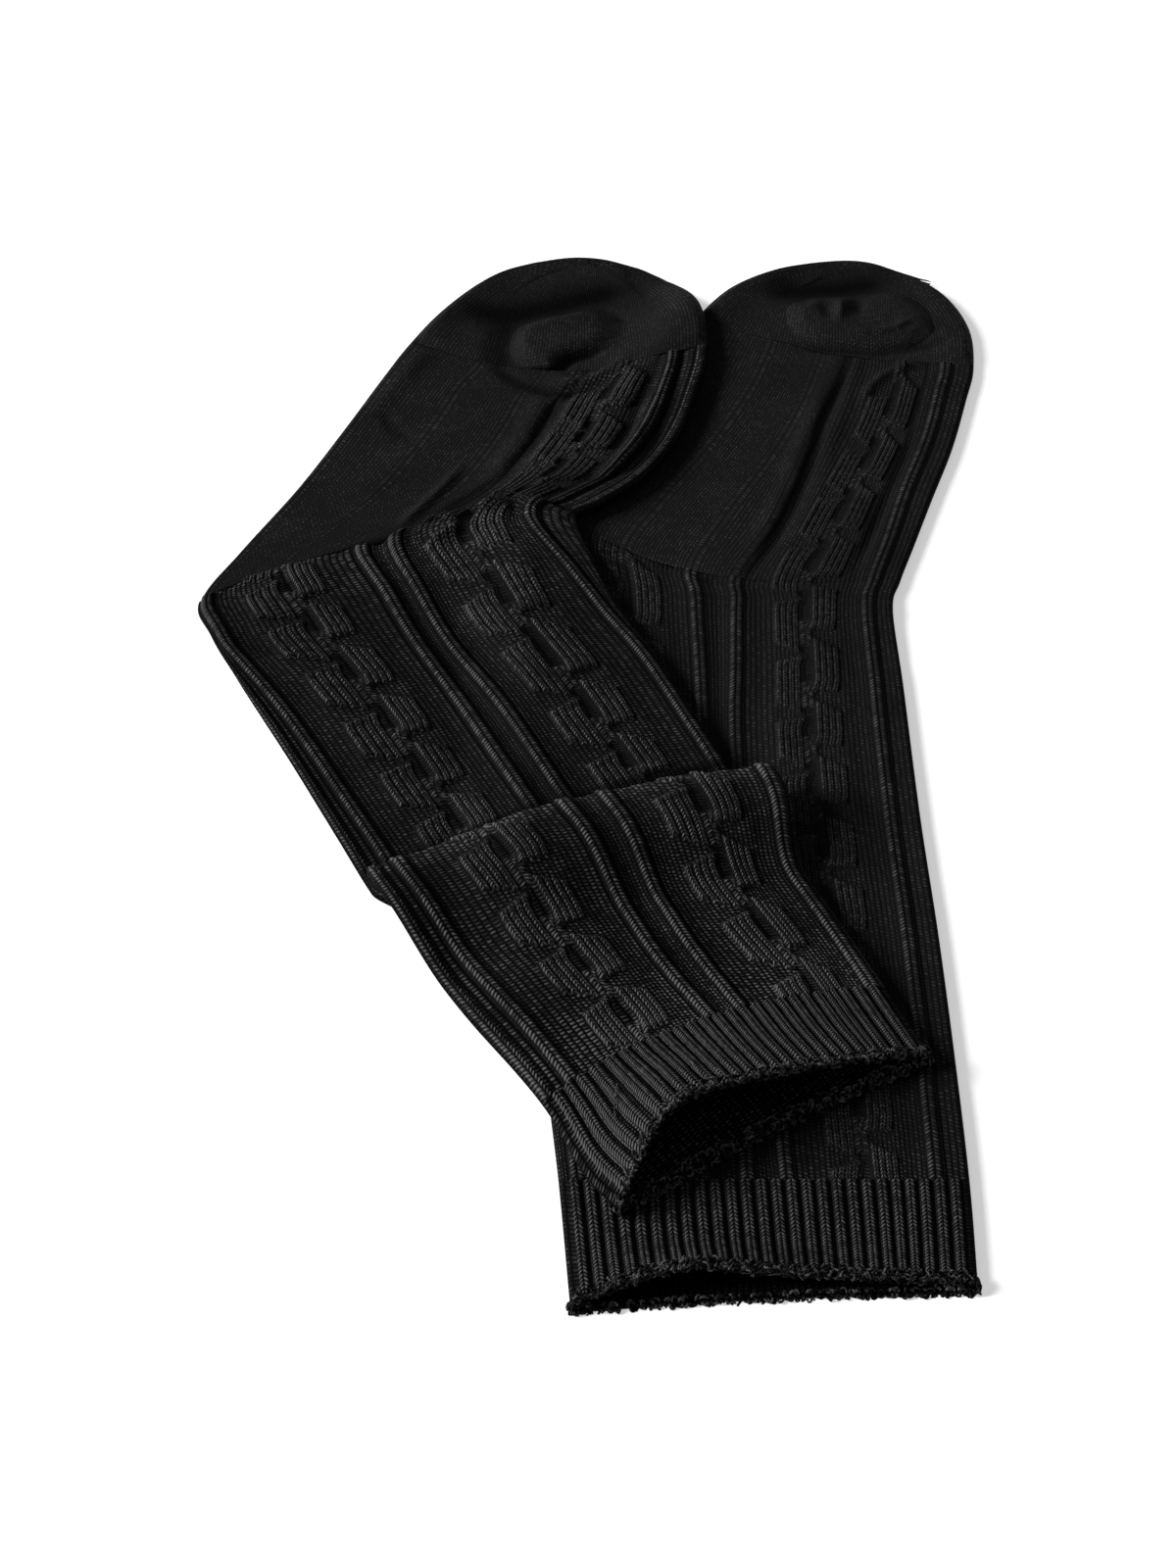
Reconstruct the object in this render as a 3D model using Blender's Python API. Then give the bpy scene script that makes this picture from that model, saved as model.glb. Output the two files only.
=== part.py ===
"""A pair of knee-high cable-knit socks, lying flat on their sides, one sock across the other.

Each sock is a knitted tube pressed flat: a cuff, a leg, a foot and a toe cap. A tube is lofted along
its own length. Its sections come from a short table: where the left and right fold of the tube lie on
the table top, and how far the section bows towards the toe between them. Ribs and cables are raised
in the top layer's outer points over a plain inside; the underside is flat where it rests.

Lengths are in millimetres until a mesh is made. X runs to the right, Y towards the toes, Z up.
"""

from collections import namedtuple
import math

import bmesh
import bpy
import numpy as np

MM = 0.001

# The knitted cloth
WALL = 1.3                  # one layer of the cloth
HOLLOW = 0.5                # space left between the two layers of a flat sock
HALF = WALL + HOLLOW / 2    # half the thickness of a flat sock
SIDE_WALL = 1.2 * WALL      # the wall at the two side folds, where the hollow ends
SEAM = 0.38                 # space between two pieces at a seam, 0.3 or more on its curves
SEAM_HOLLOW_BACK = 0.8      # how much farther back the hollow's coarser ring stands
RIB_HEIGHT = 0.9
RIB_HALF_WIDTH = 1.8
CABLE_HEIGHT = 1.1
CUFF_RIB_HEIGHT = 0.8
CUFF_RIBS = 26              # on one side of the flat cuff
SHARP_ANGLE = 20            # degrees; the edges of ribs and cables are sharper than this

# The knitted pattern, measured across the flat leg
LEG_WIDTH = 104.0
RIB_FROM_SIDE = 5.0         # the pair of ribs stands each side of the side line
CABLE_FROM_SIDE = 24.5      # middle of a cable
COLUMN_INNER = 1.3          # a cable's column, from the middle of the cable
COLUMN_OUTER = 10.6
COLUMN_SLOPE = 1.0
CABLE_PERIOD = 24.5         # one cell of a cable, along the leg
ROWS_PER_CELL = 4
COLUMN_LAG = CABLE_PERIOD / ROWS_PER_CELL
ROW = CABLE_PERIOD / ROWS_PER_CELL

# The rounding of the side folds: inset and level of its points, and inset of the flat underside
FOLD_TIP_INSET = 0.02
FOLD_SHOULDER_INSET = 0.45 * HALF
FOLD_SHOULDER_LEVEL = 0.8
UNDERSIDE_INSET = 0.6 * HALF

# Points across the plain layers, more of them where a sock bends over the one below
FLAT_UNDER_COLUMNS = 8
BENT_UNDER_COLUMNS = 11
FLAT_INNER_COLUMNS = 8
BENT_INNER_COLUMNS = 11
CUFF_INNER_COLUMNS = 11
TOE_COLUMNS = 14

# Rows along the plain skins
LEAST_ROW = 0.3             # share of a row that is kept clear beside a seam
FLAT_INNER_STEP = 3         # rows of the pattern for one row of the hollow
BENT_INNER_STEP = 2
TOE_ROW = 0.8 * ROW
TOE_INNER_ROW = 1.2 * ROW
TIP_ROWS = (0.5 * HALF, 0.15 * HALF, 0.0)   # from the tip, where the toe rounds off
TIP_PLUMPNESS = 0.05        # least share, squared, of the thickness left at the tip

MOUTH_SAMPLES = 60          # samples of a mouth's curve

# Keeps a step from growing where a section runs nearly along the fold
LEAST_SQUARE_TOE = 0.4

# Where each sock's pattern stands
UNDER_EDGE_RIBS = (5.0, 7.0)    # the outermost ribs, from the left and the right fold
OVER_EDGE_RIBS = (9.0, 4.0)
UNDER_CELL_START = 15.0         # where the cables' first cells end
OVER_CELL_START = 6.0

# The sock that lies on top
STACK_CLEARANCE = 0.3
OVER_HEIGHT = 2 * HALF + CABLE_HEIGHT + STACK_CLEARANCE
OVER_RAMP = 26.0            # width over which it comes down beside the sock below
ANKLE_OVERHANG = 14.0       # how far the front of its ankle bulges over the foot
ANKLE_RAISE = 1.4
ANKLE_REACH = 28.0          # length of leg and foot that the bulge draws along

# The fold across its leg: the lower leg lies over the upper leg
FOLD_SLACK = 0.2            # space between the passes
FOLD_RADIUS = HALF + FOLD_SLACK
FOLD_DEPTH = 7.5            # length of each of the two hidden passes
FOLD_RAMP = 32.0            # length over which the lower leg comes down again
FOLD_SLIDE = (11.0, -3.0)   # how far the lower leg's right side is pushed aside at the fold
FOLD_TUCK = 4.0             # how far the hidden passes are drawn in at the left
FOLD_STEPS = 4              # rows in each half turn
FOLD_FADE = 0.6             # share of the first turn in which the pattern fades
FOLD_LIP = 1.0              # how far from under the lip the pattern starts again
FOLD_ROW_SPACE = 1.5        # rows of the pattern nearer than this to the fold are left out

# The middle of the pair's box in the frame of the tables below
CENTRE = (0.44, -0.61)

# Where each section's left and right folds lie, how far its middle bows towards the toe, and how
# far the knitted pattern is turned to the right there
Section = namedtuple("Section", "place left_x left_y right_x right_y bow turn")
UNDER_SECTIONS = (
    Section("cuff edge", -9.3, -214.5, 90.2, -209.0, 1.2, 1),
    Section("cuff top", -12.4, -177.0, 91.0, -177.0, 0, 1),
    Section("low leg", -16.0, -140.0, 90.8, -140.0, 0, 1),
    Section("calf", -18.0, -95.0, 90.0, -95.0, 0, 0),
    Section("shin", -19.5, -50.0, 88.5, -50.0, 0, -1),
    Section("above ankle", -20.5, 2.0, 87.7, 2.0, 0, 0),
    Section("ankle", -22.0, 46.0, 87.0, 36.0, -4, 1),
    Section("heel", -21.0, 82.0, 90.3, 49.0, -15, 2),
    Section("heel pocket", -10.0, 103.0, 95.5, 64.5, -9, 4),
    Section("arch", 8.0, 130.0, 103.2, 87.5, -4, 6),
    Section("foot", 20.0, 152.0, 111.4, 111.5, -1, 7),
    Section("ball", 27.0, 169.0, 118.0, 136.0, -3, 7),
    Section("toe seam", 31.0, 179.0, 122.0, 153.0, -6, 6),
    Section("toe", 43.0, 196.0, 122.3, 174.0, -3, 0),
    Section("toe round", 59.5, 206.5, 115.0, 193.0, 0, 0),
    Section("toe end", 76.0, 211.5, 100.0, 207.5, 1.5, 0),
)
OVER_SECTIONS = (
    Section("cuff edge", 2.8, -188.5, 84.0, -140.0, 2, 5),
    Section("cuff middle", -6.2, -177.0, 79.0, -129.0, 6, 5),
    Section("cuff top", -16.3, -156.0, 74.0, -117.5, 8, 5),
    Section("low leg", -36.2, -124.7, 61.3, -90.0, 6, 5),
    Section("below fold", -54.0, -96.0, 47.5, -62.0, 4, 5),
    Section("fold", -64.5, -79.0, 37.0, -40.0, 3, 4),
    Section("above fold", -75.7, -57.0, 28.5, -20.0, 2, 4),
    Section("calf", -91.0, -27.0, 16.0, 9.0, 2, 4),
    Section("above heel", -108.0, 5.0, 4.0, 32.0, 2, 4),
    Section("ankle", -117.0, 24.0, -3.5, 54.0, 4, 3),
    Section("heel", -122.0, 39.0, -8.5, 72.0, 10, 0),
    Section("heel pocket", -112.0, 61.0, 0.5, 79.5, 6, 2),
    Section("arch", -96.0, 92.0, 13.0, 92.0, 0, 4),
    Section("foot", -82.0, 124.0, 24.0, 112.0, -2, 4),
    Section("ball", -72.0, 148.0, 31.0, 137.0, -6, 3),
    Section("toe seam", -64.0, 166.0, 34.5, 158.0, -12, 4),
    Section("toe", -53.0, 185.5, 33.0, 180.0, -6, 0),
    Section("toe round", -38.0, 202.5, 24.5, 197.0, 0, 0),
    Section("toe end", -20.0, 212.5, 10.0, 209.5, 2.0, 0),
)

# How the top layer of a cuff stands up from the lower one and is drawn back at the mouth
UNDER_MOUTH_DEPTH = 18.0
OVER_MOUTH_DEPTH = 44.0
Mouth = namedtuple("Mouth", "across lift setback")
UNDER_MOUTH = (
    Mouth(0.00, 0.0, 0.5),
    Mouth(0.28, 6.0, 4.5),
    Mouth(0.45, 3.5, 4.0),
    Mouth(0.70, 0.8, 3.0),
    Mouth(1.00, 0.0, 1.5),
)
OVER_MOUTH = (
    Mouth(0.00, 0.0, 0.5),
    Mouth(0.15, 9.0, 8.0),
    Mouth(0.28, 13.0, 11.0),
    Mouth(0.53, 9.0, 8.0),
    Mouth(0.81, 4.0, 4.0),
    Mouth(1.00, 0.0, 1.0),
)

# The trough follows the tip less towards the sides, and the knuckle is shorter than it is wide
TIP_ROUNDING = 0.5
KNUCKLE_SHORTENING = 1.4

# The gore of a toe cap stands up as a knuckle inside a shallow trough that follows the rim
Toe = namedtuple("Toe", "rim trough_width rim_height crown "
                        "knuckle_across knuckle_along knuckle_size knuckle_height")
UNDER_TOE = Toe(8.0, 4.5, 1.2, 0.8, 0.50, 16.0, 10.0, 1.0)
OVER_TOE = Toe(10.0, 5.0, 1.3, 0.8, 0.47, 9.0, 15.0, 2.6)


def smooth(share):
    """Ease from 0 to 1 as the share goes from 0 to 1."""
    share = np.clip(share, 0.0, 1.0)
    return share * share * (3 - 2 * share)


def spline(values, at):
    """A smooth curve through equally spaced values; `at` counts them from 0."""
    values = np.asarray(values, dtype=float)
    ends = 2 * values[0] - values[1], 2 * values[-1] - values[-2]
    padded = np.concatenate(([ends[0]], values, [ends[1]]))
    start = np.clip(np.floor(at).astype(int), 0, len(values) - 2)
    t = at - start
    a, b, c, d = (padded[start + step] for step in range(4))
    return b + 0.5 * t * (c - a + t * (2 * a - 5 * b + 4 * c - d + t * (3 * (b - c) + d - a)))


class Course:
    """The way a flat sock runs over the table: from a length along it and a share across it to X, Y."""

    SAMPLES = 40

    def __init__(self, sections):
        self.sections = sections
        self.stops = np.linspace(0, len(sections) - 1, self.SAMPLES * (len(sections) - 1) + 1)
        middle = self.place_at(self.stops, 0.5)
        steps = np.hypot(np.diff(middle[0]), np.diff(middle[1]))
        self.lengths = np.concatenate(([0.0], np.cumsum(steps)))
        self.end = self.lengths[-1]

    def column(self, name, stop):
        return spline([getattr(section, name) for section in self.sections], stop)

    def stop(self, along):
        return np.interp(along, self.lengths, self.stops)

    def along(self, place):
        """The length from the cuff's edge to a named section."""
        index = [section.place for section in self.sections].index(place)
        return float(self.lengths[index * self.SAMPLES])

    def chord(self, stop):
        left = self.column("left_x", stop), self.column("left_y", stop)
        right = self.column("right_x", stop), self.column("right_y", stop)
        width = np.hypot(right[0] - left[0], right[1] - left[1])
        return left, right, width

    def place_at(self, stop, across):
        left, right, width = self.chord(stop)
        bow = 4 * across * (1 - across) * self.column("bow", stop)
        run_x, run_y = (right[0] - left[0]) / width, (right[1] - left[1]) / width
        x = left[0] + across * (right[0] - left[0]) - bow * run_y
        y = left[1] + across * (right[1] - left[1]) + bow * run_x
        return x, y

    def width(self, along):
        return self.chord(self.stop(along))[2]

    def slant(self, along, side):
        """How much longer a step along a toe's section is than a step square to the fold there."""
        step = 0.05
        ball, seam = self.along("ball"), self.along("toe seam")
        share = smooth((along - ball) / (seam - ball))
        stop = np.clip(self.stop(along), step, self.stops[-1] - step)
        left, right, width = self.chord(stop)
        run = (right[0] - left[0]) / width, (right[1] - left[1]) / width
        edge = [self.column(f"{side}_{axis}", stop + step) - self.column(f"{side}_{axis}", stop - step)
                for axis in "xy"]
        square = np.abs(run[0] * edge[1] - run[1] * edge[0]) / np.hypot(*edge)
        return 1 + share * (1 / np.maximum(square, LEAST_SQUARE_TOE) - 1)


# A line of points along a tube: its share across, its inset from a fold, its level from -1 (the
# underside) to 1 (the top), the height that the pattern adds, and a cable's lag (None for a rib)
Column = namedtuple("Column", "across inset level raised lag", defaults=(0.0, 1.0, 0.0, None))


class Sock:
    """A flat sock: its course, its height above the table, its folds and its mouth."""

    def __init__(self, name, sections, mouth, mouth_depth, toe, left_rib, right_rib, cell_start,
                 below=None):
        self.name = name
        self.course = Course(sections)
        self.mouth = mouth
        self.mouth_depth = mouth_depth
        self.toe = toe
        self.left_rib = left_rib
        self.right_rib = right_rib
        self.cell_start = cell_start
        self.below = below
        self.fold_at = self.course.along("fold") if below else None
        self.extra = 2 * math.pi * FOLD_RADIUS + 2 * FOLD_DEPTH if below else 0.0
        self.end = self.course.end + self.extra

    def along(self, place):
        """Cloth length from the cuff's edge to a named section, with what the fold takes up."""
        length = self.course.along(place)
        return length + self.extra if self.below and length > self.fold_at else length

    def fold_turns(self):
        """Cloth lengths at which the fold's first turn, hidden pass and second turn begin and end."""
        turn = math.pi * FOLD_RADIUS
        first = self.fold_at
        return first, first + turn, first + turn + FOLD_DEPTH, first + 2 * turn + FOLD_DEPTH

    def path(self, cloth):
        """Where a length of cloth lies: its length over the table, its height and its tilt."""
        if not self.below:
            return cloth, 0.0, 0.0
        first, back, second, onward = self.fold_turns()
        radius = FOLD_RADIUS
        if cloth <= first:
            rise = smooth((cloth - (first - FOLD_DEPTH - FOLD_RAMP)) / FOLD_RAMP)
            return cloth, 4 * radius * rise, 0.0
        if cloth <= back:
            tilt = (cloth - first) / radius
            return first + radius * math.sin(tilt), 3 * radius + radius * math.cos(tilt), tilt
        if cloth <= second:
            return first - (cloth - back), 2 * radius, math.pi
        if cloth <= onward:
            tilt = (cloth - second) / radius
            return (first - FOLD_DEPTH - radius * math.sin(tilt), radius + radius * math.cos(tilt),
                    math.pi - tilt)
        return first - FOLD_DEPTH + cloth - onward, 0.0, 0.0

    def relief(self, cloth):
        """The pattern is pressed flat where the fold hides it."""
        if not self.below:
            return 1.0
        first, back, _, onward = self.fold_turns()
        before = 1 - smooth((cloth - first) / (FOLD_FADE * (back - first)))
        shown = onward + FOLD_DEPTH + FOLD_LIP
        after = smooth((cloth - shown) / (HALF + FOLD_RADIUS))
        return float(before if cloth < back else after)

    def slide(self, cloth):
        """The lower leg is pushed aside at the fold."""
        if not self.below:
            return 0.0
        first, back, second, _ = self.fold_turns()
        before = smooth((cloth - first + FOLD_DEPTH + FOLD_RAMP) / (FOLD_DEPTH + FOLD_RAMP))
        after = 1 - smooth((cloth - back) / (second - back))
        return float(before if cloth < back else after)

    def tuck(self, cloth):
        """The hidden passes are drawn in at the left."""
        if not self.below:
            return 0.0
        _, back, second, onward = self.fold_turns()
        before = smooth((cloth - back) / (second - back))
        after = 1 - smooth((cloth - onward) / FOLD_DEPTH)
        return FOLD_TUCK * float(before * after)

    def base(self, x, y):
        """Height of the sock's underside: the table, or the sock below."""
        if not self.below:
            return np.zeros_like(x)
        sections = self.below.course.sections
        edge = np.interp(y, [section.left_y for section in sections],
                         [section.left_x for section in sections])
        return OVER_HEIGHT * smooth((x - edge + OVER_RAMP) / OVER_RAMP)

    def mouth_form(self, cloth, across):
        """How far the top layer stands up and is drawn back near the mouth."""
        near = 1 - smooth(cloth / self.mouth_depth)
        shares = [row.across for row in self.mouth]
        peak = np.linspace(0, len(shares) - 1, MOUTH_SAMPLES)
        share = spline(shares, peak)
        lift = np.maximum(spline([row.lift for row in self.mouth], peak), 0.0)
        setback = spline([row.setback for row in self.mouth], peak)
        return near * np.interp(across, share, lift), near * np.interp(across, share, setback)

    def ankle_form(self, cloth, across):
        """How far the front of the ankle bulges over the foot, along and up."""
        if not self.below:
            return 0.0, 0.0
        away = cloth - self.along("heel")
        front = np.sin(math.pi * np.clip(2 * across - 1, 0.0, 1.0))
        bulge = front * math.exp(-(away / ANKLE_REACH) ** 2)
        return ANKLE_OVERHANG * bulge, ANKLE_RAISE * bulge * (away < 0)

    def cell(self, cloth, lag):
        """1 on a cable's raised cell and 0 in the short gap between two cells."""
        phase = ((cloth - self.cell_start - lag) / CABLE_PERIOD) % 1.0
        gap = min(phase, 1.0 - phase) * ROWS_PER_CELL
        return float(np.clip(gap, 0.0, 1.0))

    def toe_height(self, cloth, across, width):
        """Rim, trough, crown and knuckle of the toe cap."""
        toe = self.toe
        start = self.along("toe seam")
        from_side = np.minimum(across, 1 - across) * width
        from_tip = (self.end - cloth) * (1 - TIP_ROUNDING * (2 * across - 1) ** 2)
        rim = np.minimum(from_side, from_tip)
        trough = np.exp(-((rim - toe.rim) / toe.trough_width) ** 2)
        inside = smooth((rim - toe.rim) / toe.trough_width)
        body = (toe.rim_height * (1 - inside) + toe.crown * inside) * (1 - trough)
        beyond = KNUCKLE_SHORTENING * (cloth - start - toe.knuckle_along)
        away = np.hypot((across - toe.knuckle_across) * width, beyond)
        knuckle = toe.knuckle_height * (1 - smooth(away / toe.knuckle_size))
        return body * smooth((cloth - start) / ROW) + knuckle

    def ring(self, cloth, columns, outer):
        """The points of one section, in millimetres."""
        along, height, tilt = self.path(cloth)
        course = self.course
        width = course.width(along)
        across = np.array([column.across for column in columns])
        turned = course.column("turn", course.stop(along)) / width
        across = across + turned * 4 * across * (1 - across)
        slants = course.slant(along, "left"), course.slant(along, "right")
        inset = np.array([column.inset for column in columns])
        across = across + inset * np.where(inset > 0, slants[0], slants[1]) / width
        level = np.array([column.level for column in columns])
        top = np.clip(level, 0.0, 1.0)
        rounding = self.end - cloth - (0 if outer else WALL)
        plump = math.sqrt(max(1 - max(1 - rounding / HALF, 0.0) ** 2, TIP_PLUMPNESS))
        normal = level * (HALF if outer else HOLLOW / 2) * plump
        if outer:
            raised = [column.raised * (1 if column.lag is None else self.cell(cloth, column.lag))
                      for column in columns]
            normal = normal + np.array(raised) * self.relief(cloth)
            if cloth > self.along("toe seam"):
                normal = normal + top * plump * self.toe_height(cloth, across, width)
        lift, setback = self.mouth_form(cloth, across)
        overhang, swell = self.ankle_form(cloth, across)
        if outer:
            normal = normal + top * swell
        over = along + top * setback + overhang + normal * math.sin(tilt)
        x, y = course.place_at(course.stop(over), across)
        slide = self.slide(cloth) * across ** 2
        x = x + slide * FOLD_SLIDE[0] + self.tuck(cloth) * (1 - across) ** 2
        y = y + slide * FOLD_SLIDE[1]
        z = self.base(x, y) + HALF + height + top * lift + normal * math.cos(tilt)
        return np.stack((x - CENTRE[0], y - CENTRE[1], z), axis=1)

    def seam_ring(self, cloth, columns, outer, way):
        """The ring beside a seam, moved off it by half of the seam's space, level and square to it."""
        here = self.ring(cloth, columns, outer)
        step = self.ring(cloth + way, columns, outer) - here
        step[:, 2] = 0
        before = across_step(step, here - np.roll(here, 1, axis=0))
        after = across_step(step, np.roll(here, -1, axis=0) - here)
        turn = (before * after).sum(axis=1, keepdims=True)
        space = SEAM / 2 + (0 if outer else SEAM_HOLLOW_BACK)
        return here + (before + after) * (space / (1 + turn))


def across_step(step, run):
    """The part of each level step that is square to the seam's run, one unit long."""
    run = run / np.linalg.norm(run, axis=1, keepdims=True)
    square = step - run * (step * run).sum(axis=1, keepdims=True)
    square[:, 2] = 0
    return square / np.linalg.norm(square, axis=1, keepdims=True)


def fold_edge(left):
    """The outer points round the left or right fold of the flat tube, above the underside."""
    share = 0.0 if left else 1.0
    side = 1 if left else -1
    tip = Column(share, side * FOLD_TIP_INSET, 0.0)
    shoulder = Column(share, side * FOLD_SHOULDER_INSET, FOLD_SHOULDER_LEVEL)
    columns = [tip, shoulder]
    return columns if left else columns[::-1]


def underside(count, inset, level):
    """Points of the lower layer, from the right fold to the left one."""
    shares = np.linspace(1, 0, count)
    insets = [-inset] + [0.0] * (count - 2) + [inset]
    return [Column(float(share), side, level) for share, side in zip(shares, insets)]


def rib(share):
    half = RIB_HALF_WIDTH / LEG_WIDTH
    return [Column(share - half), Column(share, raised=RIB_HEIGHT), Column(share + half)]


def edge_rib(distance, left):
    """A rib at a distance from the left or right fold."""
    side = 1 if left else -1
    share = 0.0 if left else 1.0
    insets = [distance - RIB_HALF_WIDTH, distance, distance + RIB_HALF_WIDTH]
    heights = [0.0, RIB_HEIGHT, 0.0]
    columns = [Column(share, side * inset, 1.0, height) for inset, height in zip(insets, heights)]
    return columns if left else columns[::-1]


def cable(share):
    """Two columns of raised cells with a groove between them; the left one's gaps lie nearer the cuff."""
    inner, outer = COLUMN_INNER + COLUMN_SLOPE, COLUMN_OUTER - COLUMN_SLOPE
    profile = ((-COLUMN_OUTER, 0.0), (-outer, CABLE_HEIGHT), (-inner, CABLE_HEIGHT), (0.0, 0.0),
               (inner, CABLE_HEIGHT), (outer, CABLE_HEIGHT), (COLUMN_OUTER, 0.0))
    return [Column(share + offset / LEG_WIDTH, raised=raised, lag=-COLUMN_LAG if offset < 0 else 0.0)
            for offset, raised in profile]


def outer_columns(top, under_count):
    """A ring: the left fold, the top layer, the right fold and the underside."""
    return fold_edge(True) + top + fold_edge(False) + underside(under_count, UNDERSIDE_INSET, -1.0)


def inner_columns(count):
    """The hollow: a flat slit, as wide as the walls leave it."""
    shares = [float(share) for share in np.linspace(0, 1, count)]
    insets = [SIDE_WALL] + [0.0] * (count - 2) + [-SIDE_WALL]
    top = [Column(share, inset, 1.0) for share, inset in zip(shares, insets)]
    ends = Column(0.0, WALL, 0.0), Column(1.0, -WALL, 0.0)
    return [ends[0]] + top + [ends[1]] + underside(count, SIDE_WALL, -1.0)


def leg_columns(sock, under_count, plain_sole=False):
    """Ribs and cables on both halves, or a plain sole beside a patterned instep."""
    side = RIB_FROM_SIDE / LEG_WIDTH
    middle = CABLE_FROM_SIDE / LEG_WIDTH
    back = edge_rib(sock.left_rib, True) + cable(0.5 - middle) + rib(0.5 - side)
    front = rib(0.5 + side) + cable(0.5 + middle) + edge_rib(sock.right_rib, False)
    if plain_sole:
        back = [column._replace(raised=0.0) for column in back]
    return outer_columns(back + front, under_count)


def toe_columns(under_count):
    top = [Column(float(share)) for share in np.linspace(0, 1, TOE_COLUMNS + 2)[1:-1]]
    return outer_columns(top, under_count)


def cuff_columns(under_count):
    """One rib after another across the top layer."""
    shares = np.linspace(0.0, 1.0, 2 * CUFF_RIBS + 3)[2:-2]
    heights = [CUFF_RIB_HEIGHT * (index % 2 == 0) for index in range(len(shares))]
    top = [Column(float(share), raised=height) for share, height in zip(shares, heights)]
    return outer_columns(top, under_count)


def even(start, end, step):
    """Lengths from start to end, about a step apart."""
    count = max(int(round((end - start) / step)), 1)
    return [float(value) for value in np.linspace(start, end, count + 1)]


def cell_rows(sock, start, end):
    """Rows that meet each cell's gap, with the two ends."""
    first = math.ceil((start - sock.cell_start) / ROW + LEAST_ROW)
    last = math.floor((end - sock.cell_start) / ROW - LEAST_ROW)
    return [start] + [sock.cell_start + index * ROW for index in range(first, last + 1)] + [end]


def fold_rows(sock):
    """Rows round the fold's two turns, its hidden pass and the stretch under its lip."""
    first, back, second, onward = sock.fold_turns()
    rows = even(first, back, (back - first) / FOLD_STEPS)
    rows += [(back + second) / 2]
    rows += even(second, onward, (onward - second) / FOLD_STEPS)
    shown = onward + FOLD_DEPTH + FOLD_LIP
    return rows + [onward + FOLD_DEPTH / 2, shown, shown + HALF + FOLD_RADIUS]


def leg_rows(sock, start, end, every=1):
    rows = cell_rows(sock, start, end)
    inner = rows[1:-1]
    if sock.below:
        extra = fold_rows(sock)
        inner = [row for row in inner if not extra[0] - FOLD_ROW_SPACE < row < extra[-1] + FOLD_ROW_SPACE]
        before = [row for row in inner if row < extra[0]]
        after = [row for row in inner if row > extra[0]]
        return [start] + before[::every] + extra + after[::every] + [end]
    return [start] + inner[::every] + [end]


def bridge(lower, upper, lower_at, upper_at, closed):
    """Triangles between two lines of points that hold unlike numbers of them."""
    faces = []
    i = j = 0
    lower_last = len(lower) - (0 if closed else 1)
    upper_last = len(upper) - (0 if closed else 1)
    lower_at = list(lower_at) + [1.0]
    upper_at = list(upper_at) + [1.0]
    while i < lower_last or j < upper_last:
        step_lower = j >= upper_last or (i < lower_last and lower_at[i + 1] <= upper_at[j + 1])
        if step_lower:
            faces.append((lower[i], lower[(i + 1) % len(lower)], upper[j % len(upper)]))
            i += 1
        else:
            faces.append((lower[i % len(lower)], upper[(j + 1) % len(upper)], upper[j]))
            j += 1
    return faces


def around(columns):
    """How far round the ring each column stands, from 0 at the left fold."""
    shares = []
    for column in columns:
        share = column.across + column.inset / LEG_WIDTH
        below = column.level < 0
        shares.append(1 - share / 2 if below else share / 2)
    return shares


class Skin:
    """One side of a cloth wall: a grid of rings, which may start or end at a seam."""

    def __init__(self, sock, rows, columns, outer, starts_at_seam=True, ends_at_seam=True):
        self.columns = columns
        self.rings = [sock.ring(row, columns, outer) for row in rows]
        if starts_at_seam:
            self.rings[0] = sock.seam_ring(rows[0], columns, outer, 1)
        if ends_at_seam:
            self.rings[-1] = sock.seam_ring(rows[-1], columns, outer, -1)

    def number(self, first):
        count = len(self.columns)
        self.index = [[first + row * count + place for place in range(count)]
                      for row in range(len(self.rings))]
        return first + count * len(self.rings)

    def faces(self):
        count = len(self.columns)
        for low, high in zip(self.index, self.index[1:]):
            for place in range(count):
                following = (place + 1) % count
                yield low[place], low[following], high[following], high[place]

    def cap(self):
        """Closes the last ring, the top layer against the underside."""
        ring = self.index[-1]
        top = [place for place, column in enumerate(self.columns) if column.level >= 0]
        low = [place for place, column in enumerate(self.columns) if column.level < 0][::-1]
        top_at = [self.columns[place].across for place in top]
        low_at = [self.columns[place].across for place in low]
        return bridge([ring[place] for place in top], [ring[place] for place in low],
                      top_at, low_at, closed=False)


def add_material():
    material = bpy.data.materials.new("black_cotton_knit")
    material.use_nodes = True
    shader = material.node_tree.nodes["Principled BSDF"]
    shader.inputs["Base Color"].default_value = (0.012, 0.012, 0.014, 1.0)
    shader.inputs["Roughness"].default_value = 0.9
    shader.inputs["Metallic"].default_value = 0.0
    return material


def add_piece(name, outer, inner, collection, closed=False):
    """A cloth wall between its outer and inner skin, open at both ends or closed at the toe."""
    inner_start = outer.number(0)
    inner.number(inner_start)
    points = np.concatenate(outer.rings + inner.rings) * MM
    faces = list(outer.faces()) + [face[::-1] for face in inner.faces()]
    outer_at, inner_at = around(outer.columns), around(inner.columns)
    faces += bridge(outer.index[0], inner.index[0], outer_at, inner_at, closed=True)
    if closed:
        faces += outer.cap() + inner.cap()
    else:
        faces += bridge(outer.index[-1], inner.index[-1], outer_at, inner_at, closed=True)
    mesh = bpy.data.meshes.new(name)
    mesh.from_pydata([tuple(point) for point in points], [], faces)
    body = bmesh.new()
    body.from_mesh(mesh)
    bmesh.ops.triangulate(body, faces=body.faces)
    bmesh.ops.recalc_face_normals(body, faces=body.faces)
    body.to_mesh(mesh)
    body.free()
    mesh.shade_smooth()
    mesh.set_sharp_from_angle(angle=math.radians(SHARP_ANGLE))
    mesh.materials.append(add_material())
    piece = bpy.data.objects.new(name, mesh)
    collection.objects.link(piece)
    return piece


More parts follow.
